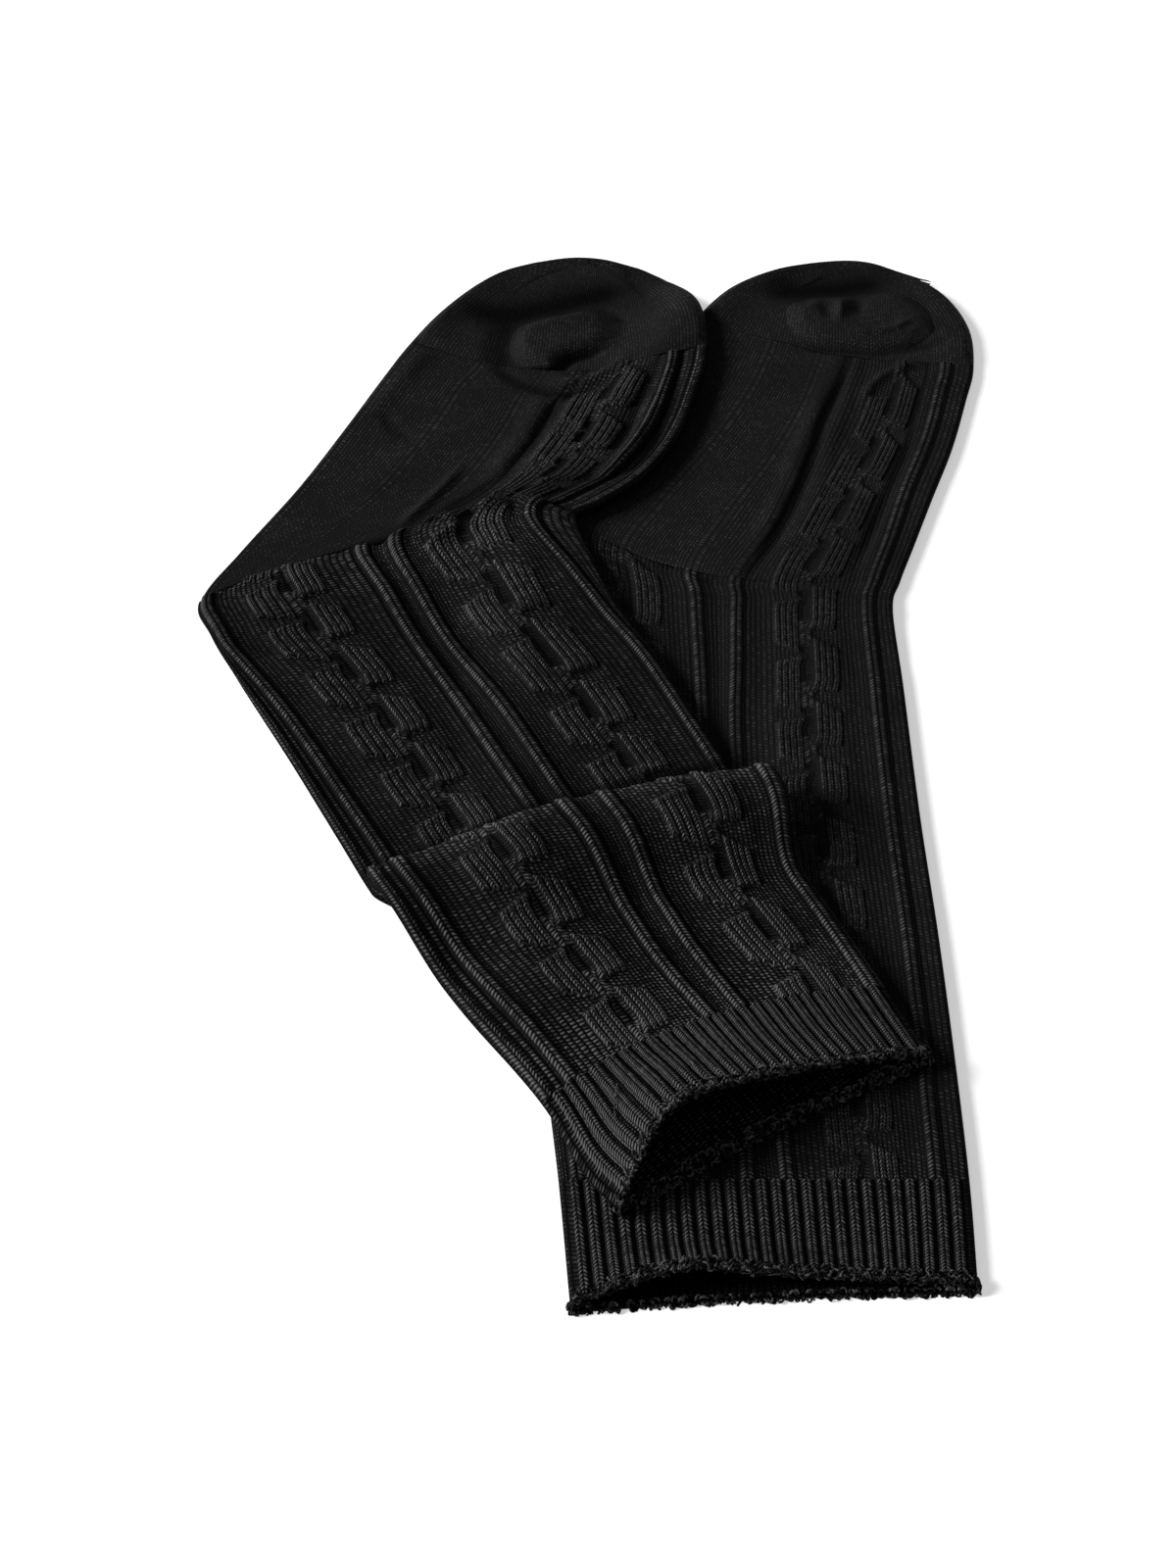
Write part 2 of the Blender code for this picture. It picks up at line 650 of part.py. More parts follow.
def add_sock(sock, collection):
    """The four pieces of one sock, a seam's space apart."""
    cuff_top = sock.along("cuff top")
    heel = sock.along("heel")
    toe_seam = sock.along("toe seam")
    tip = sock.end
    bent = bool(sock.below)
    under_count = BENT_UNDER_COLUMNS if bent else FLAT_UNDER_COLUMNS
    inner = inner_columns(BENT_INNER_COLUMNS if bent else FLAT_INNER_COLUMNS)

    rows = even(0.0, cuff_top, ROW)
    outer_skin = Skin(sock, rows, cuff_columns(under_count), True, starts_at_seam=False)
    inner_skin = Skin(sock, rows, inner_columns(CUFF_INNER_COLUMNS), False, starts_at_seam=False)
    add_piece(f"{sock.name}_cuff", outer_skin, inner_skin, collection)

    outer_skin = Skin(sock, leg_rows(sock, cuff_top, heel), leg_columns(sock, under_count), True)
    every = BENT_INNER_STEP if bent else FLAT_INNER_STEP
    inner_skin = Skin(sock, leg_rows(sock, cuff_top, heel, every), inner, False)
    add_piece(f"{sock.name}_leg", outer_skin, inner_skin, collection)

    rows = cell_rows(sock, heel, toe_seam)
    outer_skin = Skin(sock, rows, leg_columns(sock, under_count, plain_sole=True), True)
    inner_skin = Skin(sock, rows[:-1:2] + [rows[-1]], inner, False)
    add_piece(f"{sock.name}_foot", outer_skin, inner_skin, collection)

    rows = even(toe_seam, tip - HALF, TOE_ROW) + [tip - row for row in TIP_ROWS]
    inner_rows = even(toe_seam, tip - WALL - HOLLOW, TOE_INNER_ROW) + [tip - WALL]
    outer_skin = Skin(sock, rows, toe_columns(under_count), True, ends_at_seam=False)
    inner_skin = Skin(sock, inner_rows, inner, False, ends_at_seam=False)
    add_piece(f"{sock.name}_toe", outer_skin, inner_skin, collection, closed=True)


def main():
    for old in list(bpy.data.objects):
        bpy.data.objects.remove(old, do_unlink=True)
    collection = bpy.data.collections.new("knee_high_socks")
    bpy.context.scene.collection.children.link(collection)
    under = Sock("under", UNDER_SECTIONS, UNDER_MOUTH, UNDER_MOUTH_DEPTH, UNDER_TOE,
                 *UNDER_EDGE_RIBS, cell_start=UNDER_CELL_START)
    over = Sock("over", OVER_SECTIONS, OVER_MOUTH, OVER_MOUTH_DEPTH, OVER_TOE,
                *OVER_EDGE_RIBS, cell_start=OVER_CELL_START, below=under)
    add_sock(under, collection)
    add_sock(over, collection)


main()
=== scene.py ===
"""Looks of a pair of knee-high cable-knit socks that lie flat on their sides, one across the other.

Every piece stands on the form of its solid: the same sections, folds, mouths and toes, with finer
rows. Ribs, cables and cuff ribs follow a chart of wales (columns of stitches) and courses (rows).
Single stitches come from the yarn material, which reads the wale and the course from a UV map.

Lengths are in millimetres until a mesh is made. X runs to the right, Y towards the toes, Z up.
"""

import math
from collections import namedtuple

import bpy
import numpy as np
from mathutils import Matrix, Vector


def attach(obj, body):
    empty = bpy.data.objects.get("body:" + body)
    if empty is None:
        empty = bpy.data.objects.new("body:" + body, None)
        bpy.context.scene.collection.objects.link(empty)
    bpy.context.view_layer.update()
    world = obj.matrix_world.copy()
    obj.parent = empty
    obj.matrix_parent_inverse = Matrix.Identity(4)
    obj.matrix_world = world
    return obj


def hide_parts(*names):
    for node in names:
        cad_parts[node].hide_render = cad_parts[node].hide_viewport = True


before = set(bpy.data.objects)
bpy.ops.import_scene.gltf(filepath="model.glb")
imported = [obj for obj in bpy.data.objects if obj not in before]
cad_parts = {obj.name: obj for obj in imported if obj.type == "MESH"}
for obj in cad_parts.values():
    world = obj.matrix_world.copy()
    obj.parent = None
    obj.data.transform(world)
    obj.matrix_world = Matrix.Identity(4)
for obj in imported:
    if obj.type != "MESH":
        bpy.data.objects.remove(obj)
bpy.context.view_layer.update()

MM = 0.001

# The knitted cloth
WALL = 1.3
HOLLOW = 0.5
HALF = WALL + HOLLOW / 2
SIDE_WALL = 1.2 * WALL
SPARE = (math.pi / 2 - 1) * HALF    # what a fold's quarter turn adds to the flat width
SIDE_KEPT, SIDE_BLEND = 11.0, 12.0  # the strip at each side that doesn't narrow with the sock
RIB_HEIGHT = 1.1
EDGE_RIB_HEIGHT = 0.8
CUFF_RIB_HEIGHT = 1.3
RIB_EDGE, CUFF_RIB_EDGE = 0.56, 0.72        # wales from a rib's middle to its foot
CABLE_HEIGHT = 1.1
RELIEF = {"under": 0.65, "over": 1.0}       # share of the pattern's height
HOLLOW_SHADES = {"under": 0.6, "over": 1.0}       # and of the shade painted in its hollows
CUFF_RIBS = 26
CUFF_RIB_SHARE = 0.34       # half a rib's width, as a share of the step between ribs
COURSE_HEIGHT = 1.18        # one row of stitches
LEG_WIDTH = 104.0
CABLE_PERIOD = 24.5
COLUMN_WALES = 4
COLUMN_WIDTHS = {"under": (7.4, 7.0), "over": (7.4, 9.4)}   # of the left and the right cable
COLUMN_GAP = 2.0            # half of the groove between a cable's two columns
RIB_HALF = 2.0
STITCH_LEAN = 1.5           # rows by which a stitch's legs lean across their wale
SOLE_WALES, SOLE_BLEND = 25.6, 0.5  # the foot is plain up to this wale
# The purl ground sags between two wales: the first, the last and the depth
GROUND_SAGS = ((4, 8, 0.35), (17, 21, 0.45), (22, 26, 0.75), (27, 31, 0.45), (40, 44, 0.4))

# The sock that lies on top
OVER_HEIGHT = 2 * HALF + CABLE_HEIGHT + 0.3
OVER_RAMP = 26.0
ANKLE_OVERHANG = 14.0
ANKLE_RAISE = 1.4
ANKLE_REACH = 28.0
LIP_HEIGHT, LIP_REACH, LIP_ROUND = 2.8, 13.0, 2.2   # the rounded end of its leg, over its foot
LIP_SHADE, LIP_SHADE_WIDTH = 0.95, 2.6            # painted shade along the line under that end: how dark, and how wide
LIP_WALES = (16, 8)         # the wale where that line starts, and the wales over which it grows

# The fold across its leg
FOLD_RADIUS = HALF + 0.2
FOLD_DEPTH = 7.5
FOLD_RAMP = 32.0
FOLD_SLIDE = (11.0, -3.0)
FOLD_TUCK = 4.0
LAP_HIDES = 5.0             # the leg comes out this far past the lap's end
LAP_SHADE, LAP_HIGHLIGHT, LAP_WIDTH = 0.9, 0.7, 3.2    # painted shade there, and a painted highlight on the lap's edge

CENTRE = (0.44, -0.61)

# Sections along each sock: name, left end, right end, bow and turn
UNDER_SECTIONS = (
    ("cuff edge", -9.3, -214.5, 90.2, -209, 1.2, 1),
    ("cuff top", -12.4, -177, 91, -177, 0, 1),
    ("low leg", -16, -140, 90.8, -140, 0, 1),
    ("calf", -18, -95, 90, -95, 0, 0),
    ("shin", -19.5, -50, 88.5, -50, 0, -1),
    ("above ankle", -20.5, 2, 87.7, 2, 0, 0),
    ("ankle", -22, 46, 87, 36, -4, 1),
    ("heel", -21, 82, 90.3, 49, -15, 2),
    ("heel pocket", -10, 103, 95.5, 64.5, -9, 4),
    ("arch", 8, 130, 103.2, 87.5, -4, 6),
    ("foot", 20, 152, 111.4, 111.5, -1, 7),
    ("ball", 27, 169, 118, 136, -3, 7),
    ("toe seam", 31, 179, 122, 153, -6, 6),
    ("toe", 43, 196, 122.3, 174, -3, 0),
    ("toe round", 59.5, 206.5, 115, 193, 0, 0),
    ("toe end", 76, 211.5, 100, 207.5, 1.5, 0),
)
OVER_SECTIONS = (
    ("cuff edge", 2.8, -188.5, 84, -140, 2, 5),
    ("cuff middle", -6.2, -177, 79, -129, 6, 5),
    ("cuff top", -16.3, -156, 74, -117.5, 8, 5),
    ("low leg", -36.2, -124.7, 61.3, -90, 6, 5),
    ("below fold", -54, -96, 47.5, -62, 4, 5),
    ("fold", -64.5, -79, 37, -40, 3, 4),
    ("above fold", -75.7, -57, 28.5, -20, 2, 4),
    ("calf", -91, -27, 16, 9, 2, 4),
    ("above heel", -108, 5, 4, 32, 2, 4),
    ("ankle", -117, 24, -3.5, 54, 4, 3),
    ("heel", -122, 39, -8.5, 72, 10, 0),
    ("heel pocket", -112, 61, 0.5, 79.5, 6, 2),
    ("arch", -96, 92, 13, 92, 0, 4),
    ("foot", -82, 124, 24, 112, -2, 4),
    ("ball", -72, 148, 31, 137, -6, 3),
    ("toe seam", -64, 166, 34.5, 158, -12, 4),
    ("toe", -53, 185.5, 33, 180, -6, 0),
    ("toe round", -38, 202.5, 24.5, 197, 0, 0),
    ("toe end", -20, 212.5, 10, 209.5, 2, 0),
)

# At shares of the width: how far the top layer is lifted, and how far its edge is set back
UNDER_MOUTH = (
    (0.00, 0, 0.5),
    (0.28, 6, 4.5),
    (0.45, 3.5, 4),
    (0.70, 0.8, 3),
    (1.00, 0, 1.5),
)
OVER_MOUTH = (
    (0.00, 0, 0.5),
    (0.15, 9, 8),
    (0.28, 13, 11),
    (0.53, 9, 8),
    (0.81, 4, 4),
    (1.00, 0, 1),
)
RIM_WIDTH = 9.0             # the toe cap's puffy rim
RIM_HEIGHT = 1.5
CROWN_HEIGHT = 0.5
RIM_BLEND = 3.0
CORNER_BACK = 4.5           # how far the toe's last rows are drawn back at their ends
CORNER_REACH = 14.0
FLATTEST_TIP = 0.05

# The chart: at places along the cloth, where the ribs and the cables stand across the top layer:
# left rib, left cable, two middle ribs, right cable, right rib, in mm from a flat leg's left fold.
UNDER_CHART = (
    (0, 5, 27.5, 47, 57, 77, 95.5),
    (200, 5, 27.5, 46.8, 56, 76.5, 95.5),
    (256, 5, 27.5, 47, 59, 78.5, 96.5),
    (290, 5, 27.5, 46, 61, 77.5, 96.5),
    (322, 5, 27, 45, 55.5, 75, 95.5),
    (355, 5, 26, 43, 51.5, 73.5, 95.5),
    (385, 5, 26, 43, 54, 72.5, 95),
)
OVER_CHART = (
    (0, 9.5, 30, 49, 58.2, 81.5, 100.3),
    (38, 9.6, 29.8, 49, 58.2, 81.6, 100.3),
    (50, 9.7, 29.5, 47.6, 57.2, 81.4, 100.3),
    (61, 9.7, 29.2, 47, 56.6, 80, 100.3),
    (80, 9.5, 28.9, 48.2, 58, 79.4, 100.3),
    (95, 9.4, 28.8, 49.3, 59.3, 80, 100.3),
    (120, 8.8, 28.7, 49.3, 59.6, 80, 101),
    (153, 9, 27.4, 45.5, 55, 76.8, 101.2),
    (175, 8.1, 26.8, 45.4, 54.5, 75.5, 100.7),
    (208, 7.1, 25.9, 45.8, 54.2, 74.2, 100.4),
    (220, 6.6, 25.5, 45.8, 54, 73.9, 100),
    (231, 5.2, 24.8, 45.7, 53.8, 73.6, 99.3),
    (242, 3.3, 23.6, 45.6, 53.7, 73.4, 98.2),
    (253, 2.4, 22.8, 45.5, 53.6, 73, 95),
    (264, 2.4, 22.8, 45.6, 53.6, 72.5, 91.8),
    (277, 2.4, 22.8, 46.4, 55.5, 72.5, 89.5),
    (300, 2.4, 23.5, 44.5, 54.5, 72.5, 90.5),
    (325, 2.4, 23.5, 43.5, 54.5, 72.5, 92.5),
    (345, 2.4, 23.5, 43.5, 54.8, 72, 93),
    (390, 2.4, 23.5, 43.5, 54.8, 72.5, 93),
)
# The first wale of each of them
LEFT_RIB, LEFT_CABLE, MID_LEFT, MID_RIGHT, RIGHT_CABLE, RIGHT_RIB = 3, 8, 21, 26, 31, 44
CHART_WALES = LEFT_RIB, LEFT_CABLE, MID_LEFT, MID_RIGHT, RIGHT_CABLE, RIGHT_RIB
LAST_WALE = 48
CHART_BLEND = 7.0           # the chart is averaged over three places this far apart
EDGE_WALES = (1, 47.2)      # ribs on the upper sock's side folds: on the leg, on the foot

# Where a cable's cells end towards the cuff, for its left and its right column, in mm of cloth.
UNDER_CELLS = (
    (22, 43.5, 66, 88, 110.5, 133.5, 157, 180.5, 203, 229, 256, 286, 314, 341, 368),
    (27, 49, 71.5, 94, 116.5, 139.5, 163.5, 186.5, 209, 236.5, 264, 293, 322.5, 350.5, 377),
)
OVER_CELLS_LEFT = (
    (39.5, 59.5, 79.5, 99, 121, 145, 168.5, 190.5, 212.5, 234, 256, 278, 304, 330, 356),
    (40, 61, 82, 102.5, 125, 151.5, 173.5, 196, 217.5, 240.5, 262, 284, 310, 336, 362),
)
OVER_CELLS_RIGHT = (
    (26, 50.5, 76, 98.5, 122, 147.5, 170.5, 194.5, 225.5, 250, 274, 300, 326, 350, 374),
    (31, 55.5, 80.5, 103, 127, 154, 176.5, 201, 233, 258, 282, 308, 334, 358, 382),
)
# For the left and the right column: where a cell starts after its end's place, how much later it
# starts per mm away from the groove, where it stops before the next place, and how much earlier.
CellEdges = namedtuple("CellEdges", "start start_slope stop stop_slope")
CELL_EDGES = (CellEdges(-3, 0.65, -4.4, 0.35), CellEdges(0, 0.10, -3.7, 0.58))
HOOK = 0.7                  # how far a cell's end bends over the groove
HOLE_START, HOLE_STOP = 4.4, 6.6    # a cable's hole, after and before the right column's places

# Folds and creases, in mm over the table. A ridge is its height, its width, and x and y of each
# point of its line; a trough is a ridge with a height below 0. A lobe is a pushed-up patch.
Lobe = namedtuple("Lobe", "height edge fade_x fade_width points")
OVER_CREST = (1.9, 2.4, -14.8, 146.4, -11.7, 143.8, -4.5, 144.7, 2.2, 148.1, 6.6, 154)
OVER_TOE_FORMS = (
    (-1.9, 6.2, -50.2, 180.5, -42.8, 183.2, -36.1, 181.1, -27.3, 182.3, -16.7, 185.9, -6.8, 190.1,
     2.6, 193.9, 10.4, 195.8),
    (-1.6, 4.2, -31.1, 178, -33.3, 171.7, -34.8, 162.2, -33.5, 150.7, -29.7, 145.3),
    Lobe(2.8, 6, -5, 14, (
        (-29, 172.7), (-30.8, 166.2), (-30.8, 159.2), (-27.4, 153.4), (-21.4, 149), (-16, 146),
        (-14.3, 151.7), (-10.6, 156), (-5.5, 158.4), (1.3, 161.6), (8.1, 166.9), (9.4, 172.7),
        (4.1, 177.1), (-2.4, 181), (-7.9, 181.7), (-14.7, 179.6), (-22.7, 176.6))),
    (-1.6, 1.6, -15.2, 149.8, -13.7, 152.7, -10.6, 155.5, -5.9, 157.9, -2.3, 159.4),
    OVER_CREST,
    (-1.3, 1.7, -2.2, 183.4, 3.2, 180.5, 7.5, 175.4),
    (0.8, 3, -21.4, 173.4, -12.7, 174.5, -4.2, 176.1),
    (0.7, 5, 18.9, 156.8, 20, 167, 15.7, 178.8),
)
OVER_FOOT_FORMS = (
    (-1.5, 2.2, -35.3, 155.3, -33.5, 150.7, -30.2, 146.4, -26.6, 143.4, -17.6, 139, -7.8, 138.4,
     -0.6, 141.3),
    OVER_CREST,
    (-1.5, 1.7, -11.9, 141, -16.3, 131.6, -23.6, 111.2, -31.8, 96.3, -40.6, 87.5, -47.5, 81.6,
     -51.1, 77.3, -51, 75.6),
    (1, 3.4, -20, 135.8, -26.2, 116.1, -35.7, 98.5),
    (1.2, 1.8, -46, 100.7, -50.3, 92.5, -54.1, 86.6, -61, 76.7, -63.6, 71.8),
    (1.3, 2.6, -9.7, 135, -13.8, 121.6, -19.5, 106.5, -26, 96.4),
    (-1.1, 1.2, -2.3, 126.6, -9.7, 106.8),
    (-1.3, 2.3, 15.5, 146.8, 10.3, 128.3, 6, 113.4, 1.9, 103),
    (1.3, 2.4, 15.1, 130.5, 11.1, 113.1, 5.5, 101.3, -0.5, 94.8),
    (-1.4, 1.6, 26.4, 159, 21.4, 128.4, 15.7, 108.5, 9.9, 97.6, 2.7, 91.5, -4.6, 89.5),
    (-0.7, 2.4, -71.4, 130.5, -68.3, 121.9, -62.4, 115.5),
    (0.8, 4, -59.1, 161.5, -66.7, 145.2, -75.2, 129),
    (0.6, 6, -46.9, 123.8, -62.1, 104.7, -80.6, 85.8),
)
OVER_LEG_FORMS = (
    (-1.1, 3.4, -112, 22, -104, 19, -97, 16),
    (0.7, 4.5, -105, 44, -90, 52, -76, 56),
    (1.6, 3.4, -54, 64, -48, 71, -44.5, 73),
    (1.5, 3, -39, 76, -34.5, 79.5, -31, 79),
    (1.3, 3.6, -27, 79, -19, 76, -13, 68),
    (-0.9, 1.6, -42.5, 79, -40.5, 72, -37.5, 66),
    (-0.7, 1.5, -29.5, 83, -28.6, 76, -26, 70),
    (-0.6, 5, -50, 40, -44, 28, -35, 14, -26, 0),
    (0.6, 6, -40, 44, -31, 30, -24, 17),
    (-0.5, 5, -5, 30, 3, 16, 11, 2),
    (0.5, 6, -95, 14, -84, 0, -72, -20),
    (-0.5, 4, -72, -8, -62, -25, -56, -38),
    (-0.8, 3.6, -36, -98, -20, -104, -4, -106),
    (0.6, 5, 10, -84, 20, -98, 32, -110),
    (-0.6, 4, 30, -62, 38, -74, 44, -88),
    (0.5, 4, -28, -110, -14, -122, -2, -134),
)
UNDER_TOE_FORMS = (
    (-1.8, 5.2, 66.9, 202, 62, 193.8, 68, 193.9, 80.4, 195.3, 90.9, 197.8, 96.9, 200.5),
    Lobe(1.9, 6, 130, 14, (
        (62, 184.7), (67.3, 188), (71.1, 190.8), (82.2, 191.2), (89.7, 191.9), (96.5, 192.8),
        (103, 189), (108.2, 181.6), (109.7, 171.5), (106.6, 167.2), (102.1, 163.1), (95.7, 162.1),
        (87.3, 162.2), (78.7, 163.2), (66.3, 167.4), (61.6, 174.3))),
    (-1, 2.4, 73.8, 184.9, 74.5, 180, 76.3, 176.8),
    (-1.1, 2.6, 84.8, 187.4, 85.4, 183.1, 84.2, 178.8),
    (1.5, 1.9, 79.5, 185.2, 79, 179.2, 78.3, 175.2),
    (1.1, 1.6, 82.3, 168.5, 89.8, 168.3, 97, 170.3, 101.5, 174.9),
    (-1.4, 1.7, 64.8, 164.3, 73.2, 162.6, 82.1, 161.3, 90.7, 160, 99.7, 161.5, 106.4, 163, 112,
     164.7),
)
UNDER_FOOT_FORMS = (
    (-1.4, 1.7, 64.6, 163.3, 73.1, 161.6, 82.1, 160.3, 90.7, 158.9, 99.8, 160),
    (1.3, 1.8, 83.3, 133.4, 86.6, 141.5, 91.5, 147.8, 97.6, 151.7, 103.6, 154.3),
    (-1.4, 1.6, 81.5, 158.8, 77.4, 143.6, 70.5, 124.4, 67.8, 113, 63.3, 96.7, 58.5, 82.7, 53.3,
     69.5, 47.2, 57.4, 42.7, 48.7),
    (0.8, 3, 76, 156.1, 68, 130.9, 62.2, 111.6, 57.5, 94.3, 50, 74.4, 41.3, 54.8),
    (0.6, 2.6, 82.6, 145.2, 73.7, 117.5, 68.6, 96.3, 61.2, 76, 53.8, 58.9),
    (-1, 1.5, 99.4, 117.7, 91.5, 95, 84.3, 75.2, 76.7, 54.7),
    (0.5, 7, 57.6, 156.4, 43, 131.6, 32.2, 103.4),
    (-0.5, 5, 34.4, 156.5, 26.8, 129, 6.2, 106.5),
)
UNDER_LEG_FORMS = (
    (-0.9, 2.2, 44, 47, 32, 49, 18, 56, 8, 66),
    (0.8, 2.4, 42, 50, 31, 53, 19, 60, 9, 70),
    (0.5, 5, 70, 42, 80, 38, 88, 34),
    (-0.6, 5, 66, 20, 76, 14, 86, 14),
    (0.5, 6, 48, -10, 50, -34, 47, -60),
    (-0.5, 4, 72, -40, 80, -58, 84, -80),
    (0.5, 5, 66, -100, 74, -124, 78, -150),
    (-0.6, 4, 20, -150, 34, -158, 50, -160),
)
# Creases on the undersides, which the photo hides: up from the table
HIDDEN_FORMS = {
    "under": (
        (0.5, 3, 10, -180, 30, -150, 40, -120),
        (0.4, 4, 60, -120, 66, -90, 62, -50),
        (0.6, 3, 0, -60, 14, -30, 12, 8),
        (0.5, 2.5, 50, 30, 60, 52, 74, 66),
        (0.5, 3.5, 40, 100, 60, 120, 84, 132),
        (0.4, 3, 60, 176, 76, 186, 94, 184),
    ),
    "over": (
        (0.5, 3, -10, -150, -20, -130, -38, -112),
        (0.6, 4, -60, -60, -70, -30, -92, 0),
        (0.5, 3, -100, 40, -76, 56, -50, 60),
        (0.5, 3.5, -80, 110, -60, 130, -46, 150),
        (0.4, 3, -40, 170, -24, 186, -8, 184),
    ),
}

# By sock
SECTIONS = {"under": UNDER_SECTIONS, "over": OVER_SECTIONS}
MOUTHS = {"under": UNDER_MOUTH, "over": OVER_MOUTH}
MOUTH_DEPTHS = {"under": 18.0, "over": 44.0}
CHARTS = {"under": UNDER_CHART, "over": OVER_CHART}
CELLS = {"under": (UNDER_CELLS, UNDER_CELLS), "over": (OVER_CELLS_LEFT, OVER_CELLS_RIGHT)}
FORMS = {"under_leg": UNDER_LEG_FORMS, "under_foot": UNDER_FOOT_FORMS, "under_toe": UNDER_TOE_FORMS,
         "over_leg": OVER_LEG_FORMS, "over_foot": OVER_FOOT_FORMS, "over_toe": OVER_TOE_FORMS}

# The mesh
WALE_POINTS = 5             # points across one wale of the top layer
RIB_POINTS = 9              # points across a rib
FOLD_POINTS = 5             # points round each quarter of a side fold
UNDER_POINTS = 26           # points across the plain underside
TIP_ROWS = 8                # rows round the toe's end
LEG_ROW = 0.92              # rows along the pieces
CUFF_ROW = 0.295
TOE_ROW = 0.75
INNER_ROW = 9.0
CUFF_INNER_ROW = 2.0
LAP_ROW, LAP_INNER_ROW, PAST_LAP = 0.5, 1.0, 4.0

# Loops of yarn at a cuff's cut edge: place along the cloth, depth in the wall (1 is its inner side)
# and pitch of each row of them. The lower sock has the first five.
LOOP_BANDS = ((0.2, 0.45, 1.1), (0.2, 0.0, 1.0), (1.2, 0.0, 1.2), (2.2, 0.0, 1.8), (0.4, 1.0, 1.0),
              (1.5, 1.0, 1.1), (2.6, 1.0, 1.5))
UNDER_BANDS = 5
LOOP_RELIEF = 0.3
LOOP_TONES = (0.1, 2.3)     # how dark and how light a loop may be
LOW_LOOP_TONE = 1.4         # and the upper sock's loops below its mouth
LOOP_YARN, LOOP_HALF_WIDTH, LOOP_LENGTH = (0.24, 0.36), (0.6, 1.1), (0.6, 1.3)
LOOP_TURN = 1.2             # how far a loop may be turned out of the edge's line
LOOP_SINKS = 0.25
LOOP_SEEDS = {"under": 5, "over": 7}
LOOP_STITCHES = 0.9         # stitches per mm of a loop's yarn
LOOSE_THREADS = {"under": (), "over": (
    ((20.5, -151, 19.6), (22.5, -156, 20.6), (26.5, -160, 20.4), (29, -157, 20.6),
     (27, -154.5, 20.8)),
    ((2, -155, 15), (1.2, -163, 14.5), (3, -170, 12), (1.6, -176, 9)),
)}
THREAD_RADIUS, THREAD_TONE = 0.17, 2.0
TABLE_GAP = 0.05

LAYERS = ("stitches", "kind", "tone")   # wale and course; knit and painted shade in the hollows; relief and tone

# The yarn, at places along the cloth: how crisp its stitches are, and how light
TONES = {
    "under": ((0, 34, 60, 432), (1.15, 0.75, 0.55, 0.42), (1.2, 1.0, 1.0, 1.0)),
    "over": ((0, 30, 60, 120, 255, 279, 300), (1.5, 1.4, 1.15, 0.85, 0.85, 1.0, 0.7),
             (2.7, 2.2, 1.15, 1.0, 1.0, 1.45, 1.2)),
}
SOLE_TONE = (0.32, 0.86)    # relief and tone of plain knit
INNER_SHADE = 0.35           # painted shade: how dark a sock's inner side is made
DEEPEST = 0.95              # a trough stays above the wall's inner side
TROUGH_SHADE = 0.27         # how much less light reaches a trough, per square mm of its depth
DARKEST_TROUGH = 0.92
STITCH_DEPTH = 0.0006       # in metres
STITCH_SPREAD = (0.95, 0.45)        # how unlike the stitches are, and the least of them
WANDER = 0.6                # rows by which the courses wander
LEG_ROUNDING, SIDE_ROUNDING = 1.5, 2.4
PURLS_PER_WALE, PURL_SLANT, PURL_OFFSET, PURL_HEIGHT = 1.5, 0.30, 0.37, 0.9
FUZZ = 0.2
FLAT_COVER, PURL_COVER, KNIT_COVER = 0.34, 0.70, 1.08       # how light the yarn's face is, with painted shade where its stitches are low
# How much the shade painted in the hollows darkens the yarn
HOLLOW_SHADE_STRENGTH = 0.85
PATCHES = (0.6, 0.7)        # soft light and dark patches: their range and the least
# Scale and detail
NOISE = {"wander": (420.0, 1.0), "fuzz": (2600.0, 2.0), "patches": (60.0, 2.0)}
YARN_COLOURS = ((0.05, (0.0012, 0.0012, 0.0013, 1)), (1.0, (0.085, 0.085, 0.086, 1)),
                (0.45, (0.0145, 0.0145, 0.0148, 1)))
PURL_ROUGHNESS, KNIT_ROUGHNESS, YARN_SPECULAR = 0.92, 0.62, 0.02

# Camera: 46 degrees down, from 0.60 m above the floor
CAMERA_AT = (-0.00544, -0.61739, 0.603)
CAMERA_DOWN = 46.0
CAMERA_LENS = 67.5
CAMERA_SENSOR = 36.0

FLOOR_HALF = 6.0            # in metres
FLOOR_GLOW = 0.45
WORLD_LIGHT = 0.17
SUN_FROM, SUN_SPREAD, SUN_POWER = (-0.87, 0.06, 0.44), 26.0, 5.5


def smooth(share):
    share = np.clip(share, 0.0, 1.0)
    return share * share * (3 - 2 * share)


def rise(value, start, length):
    """0 up to the start, 1 from a length after it."""
    return smooth((value - start) / length)


def bell(away, width):
    return np.exp(-(away / width) ** 2)


def dome(away, half, sharp):
    return np.clip(1 - (away / half) ** sharp, 0, 1)


def spline(values, at):
    """A smooth run through the values, or through the rows of a table."""
    values = np.asarray(values, dtype=float)
    ends = 2 * values[0] - values[1], 2 * values[-1] - values[-2]
    padded = np.concatenate(([ends[0]], values, [ends[1]]))
    start = np.clip(np.floor(at).astype(int), 0, len(values) - 2)
    t = np.reshape(at - start, np.shape(at) + (1,) * (values.ndim - 1))
    a, b, c, d = (padded[start + step] for step in range(4))
    return b + 0.5 * t * (c - a + t * (2 * a - 5 * b + 4 * c - d + t * (3 * (b - c) + d - a)))


def front_half(across):
    return np.sin(math.pi * np.clip(2 * across - 1, 0.0, 1.0))


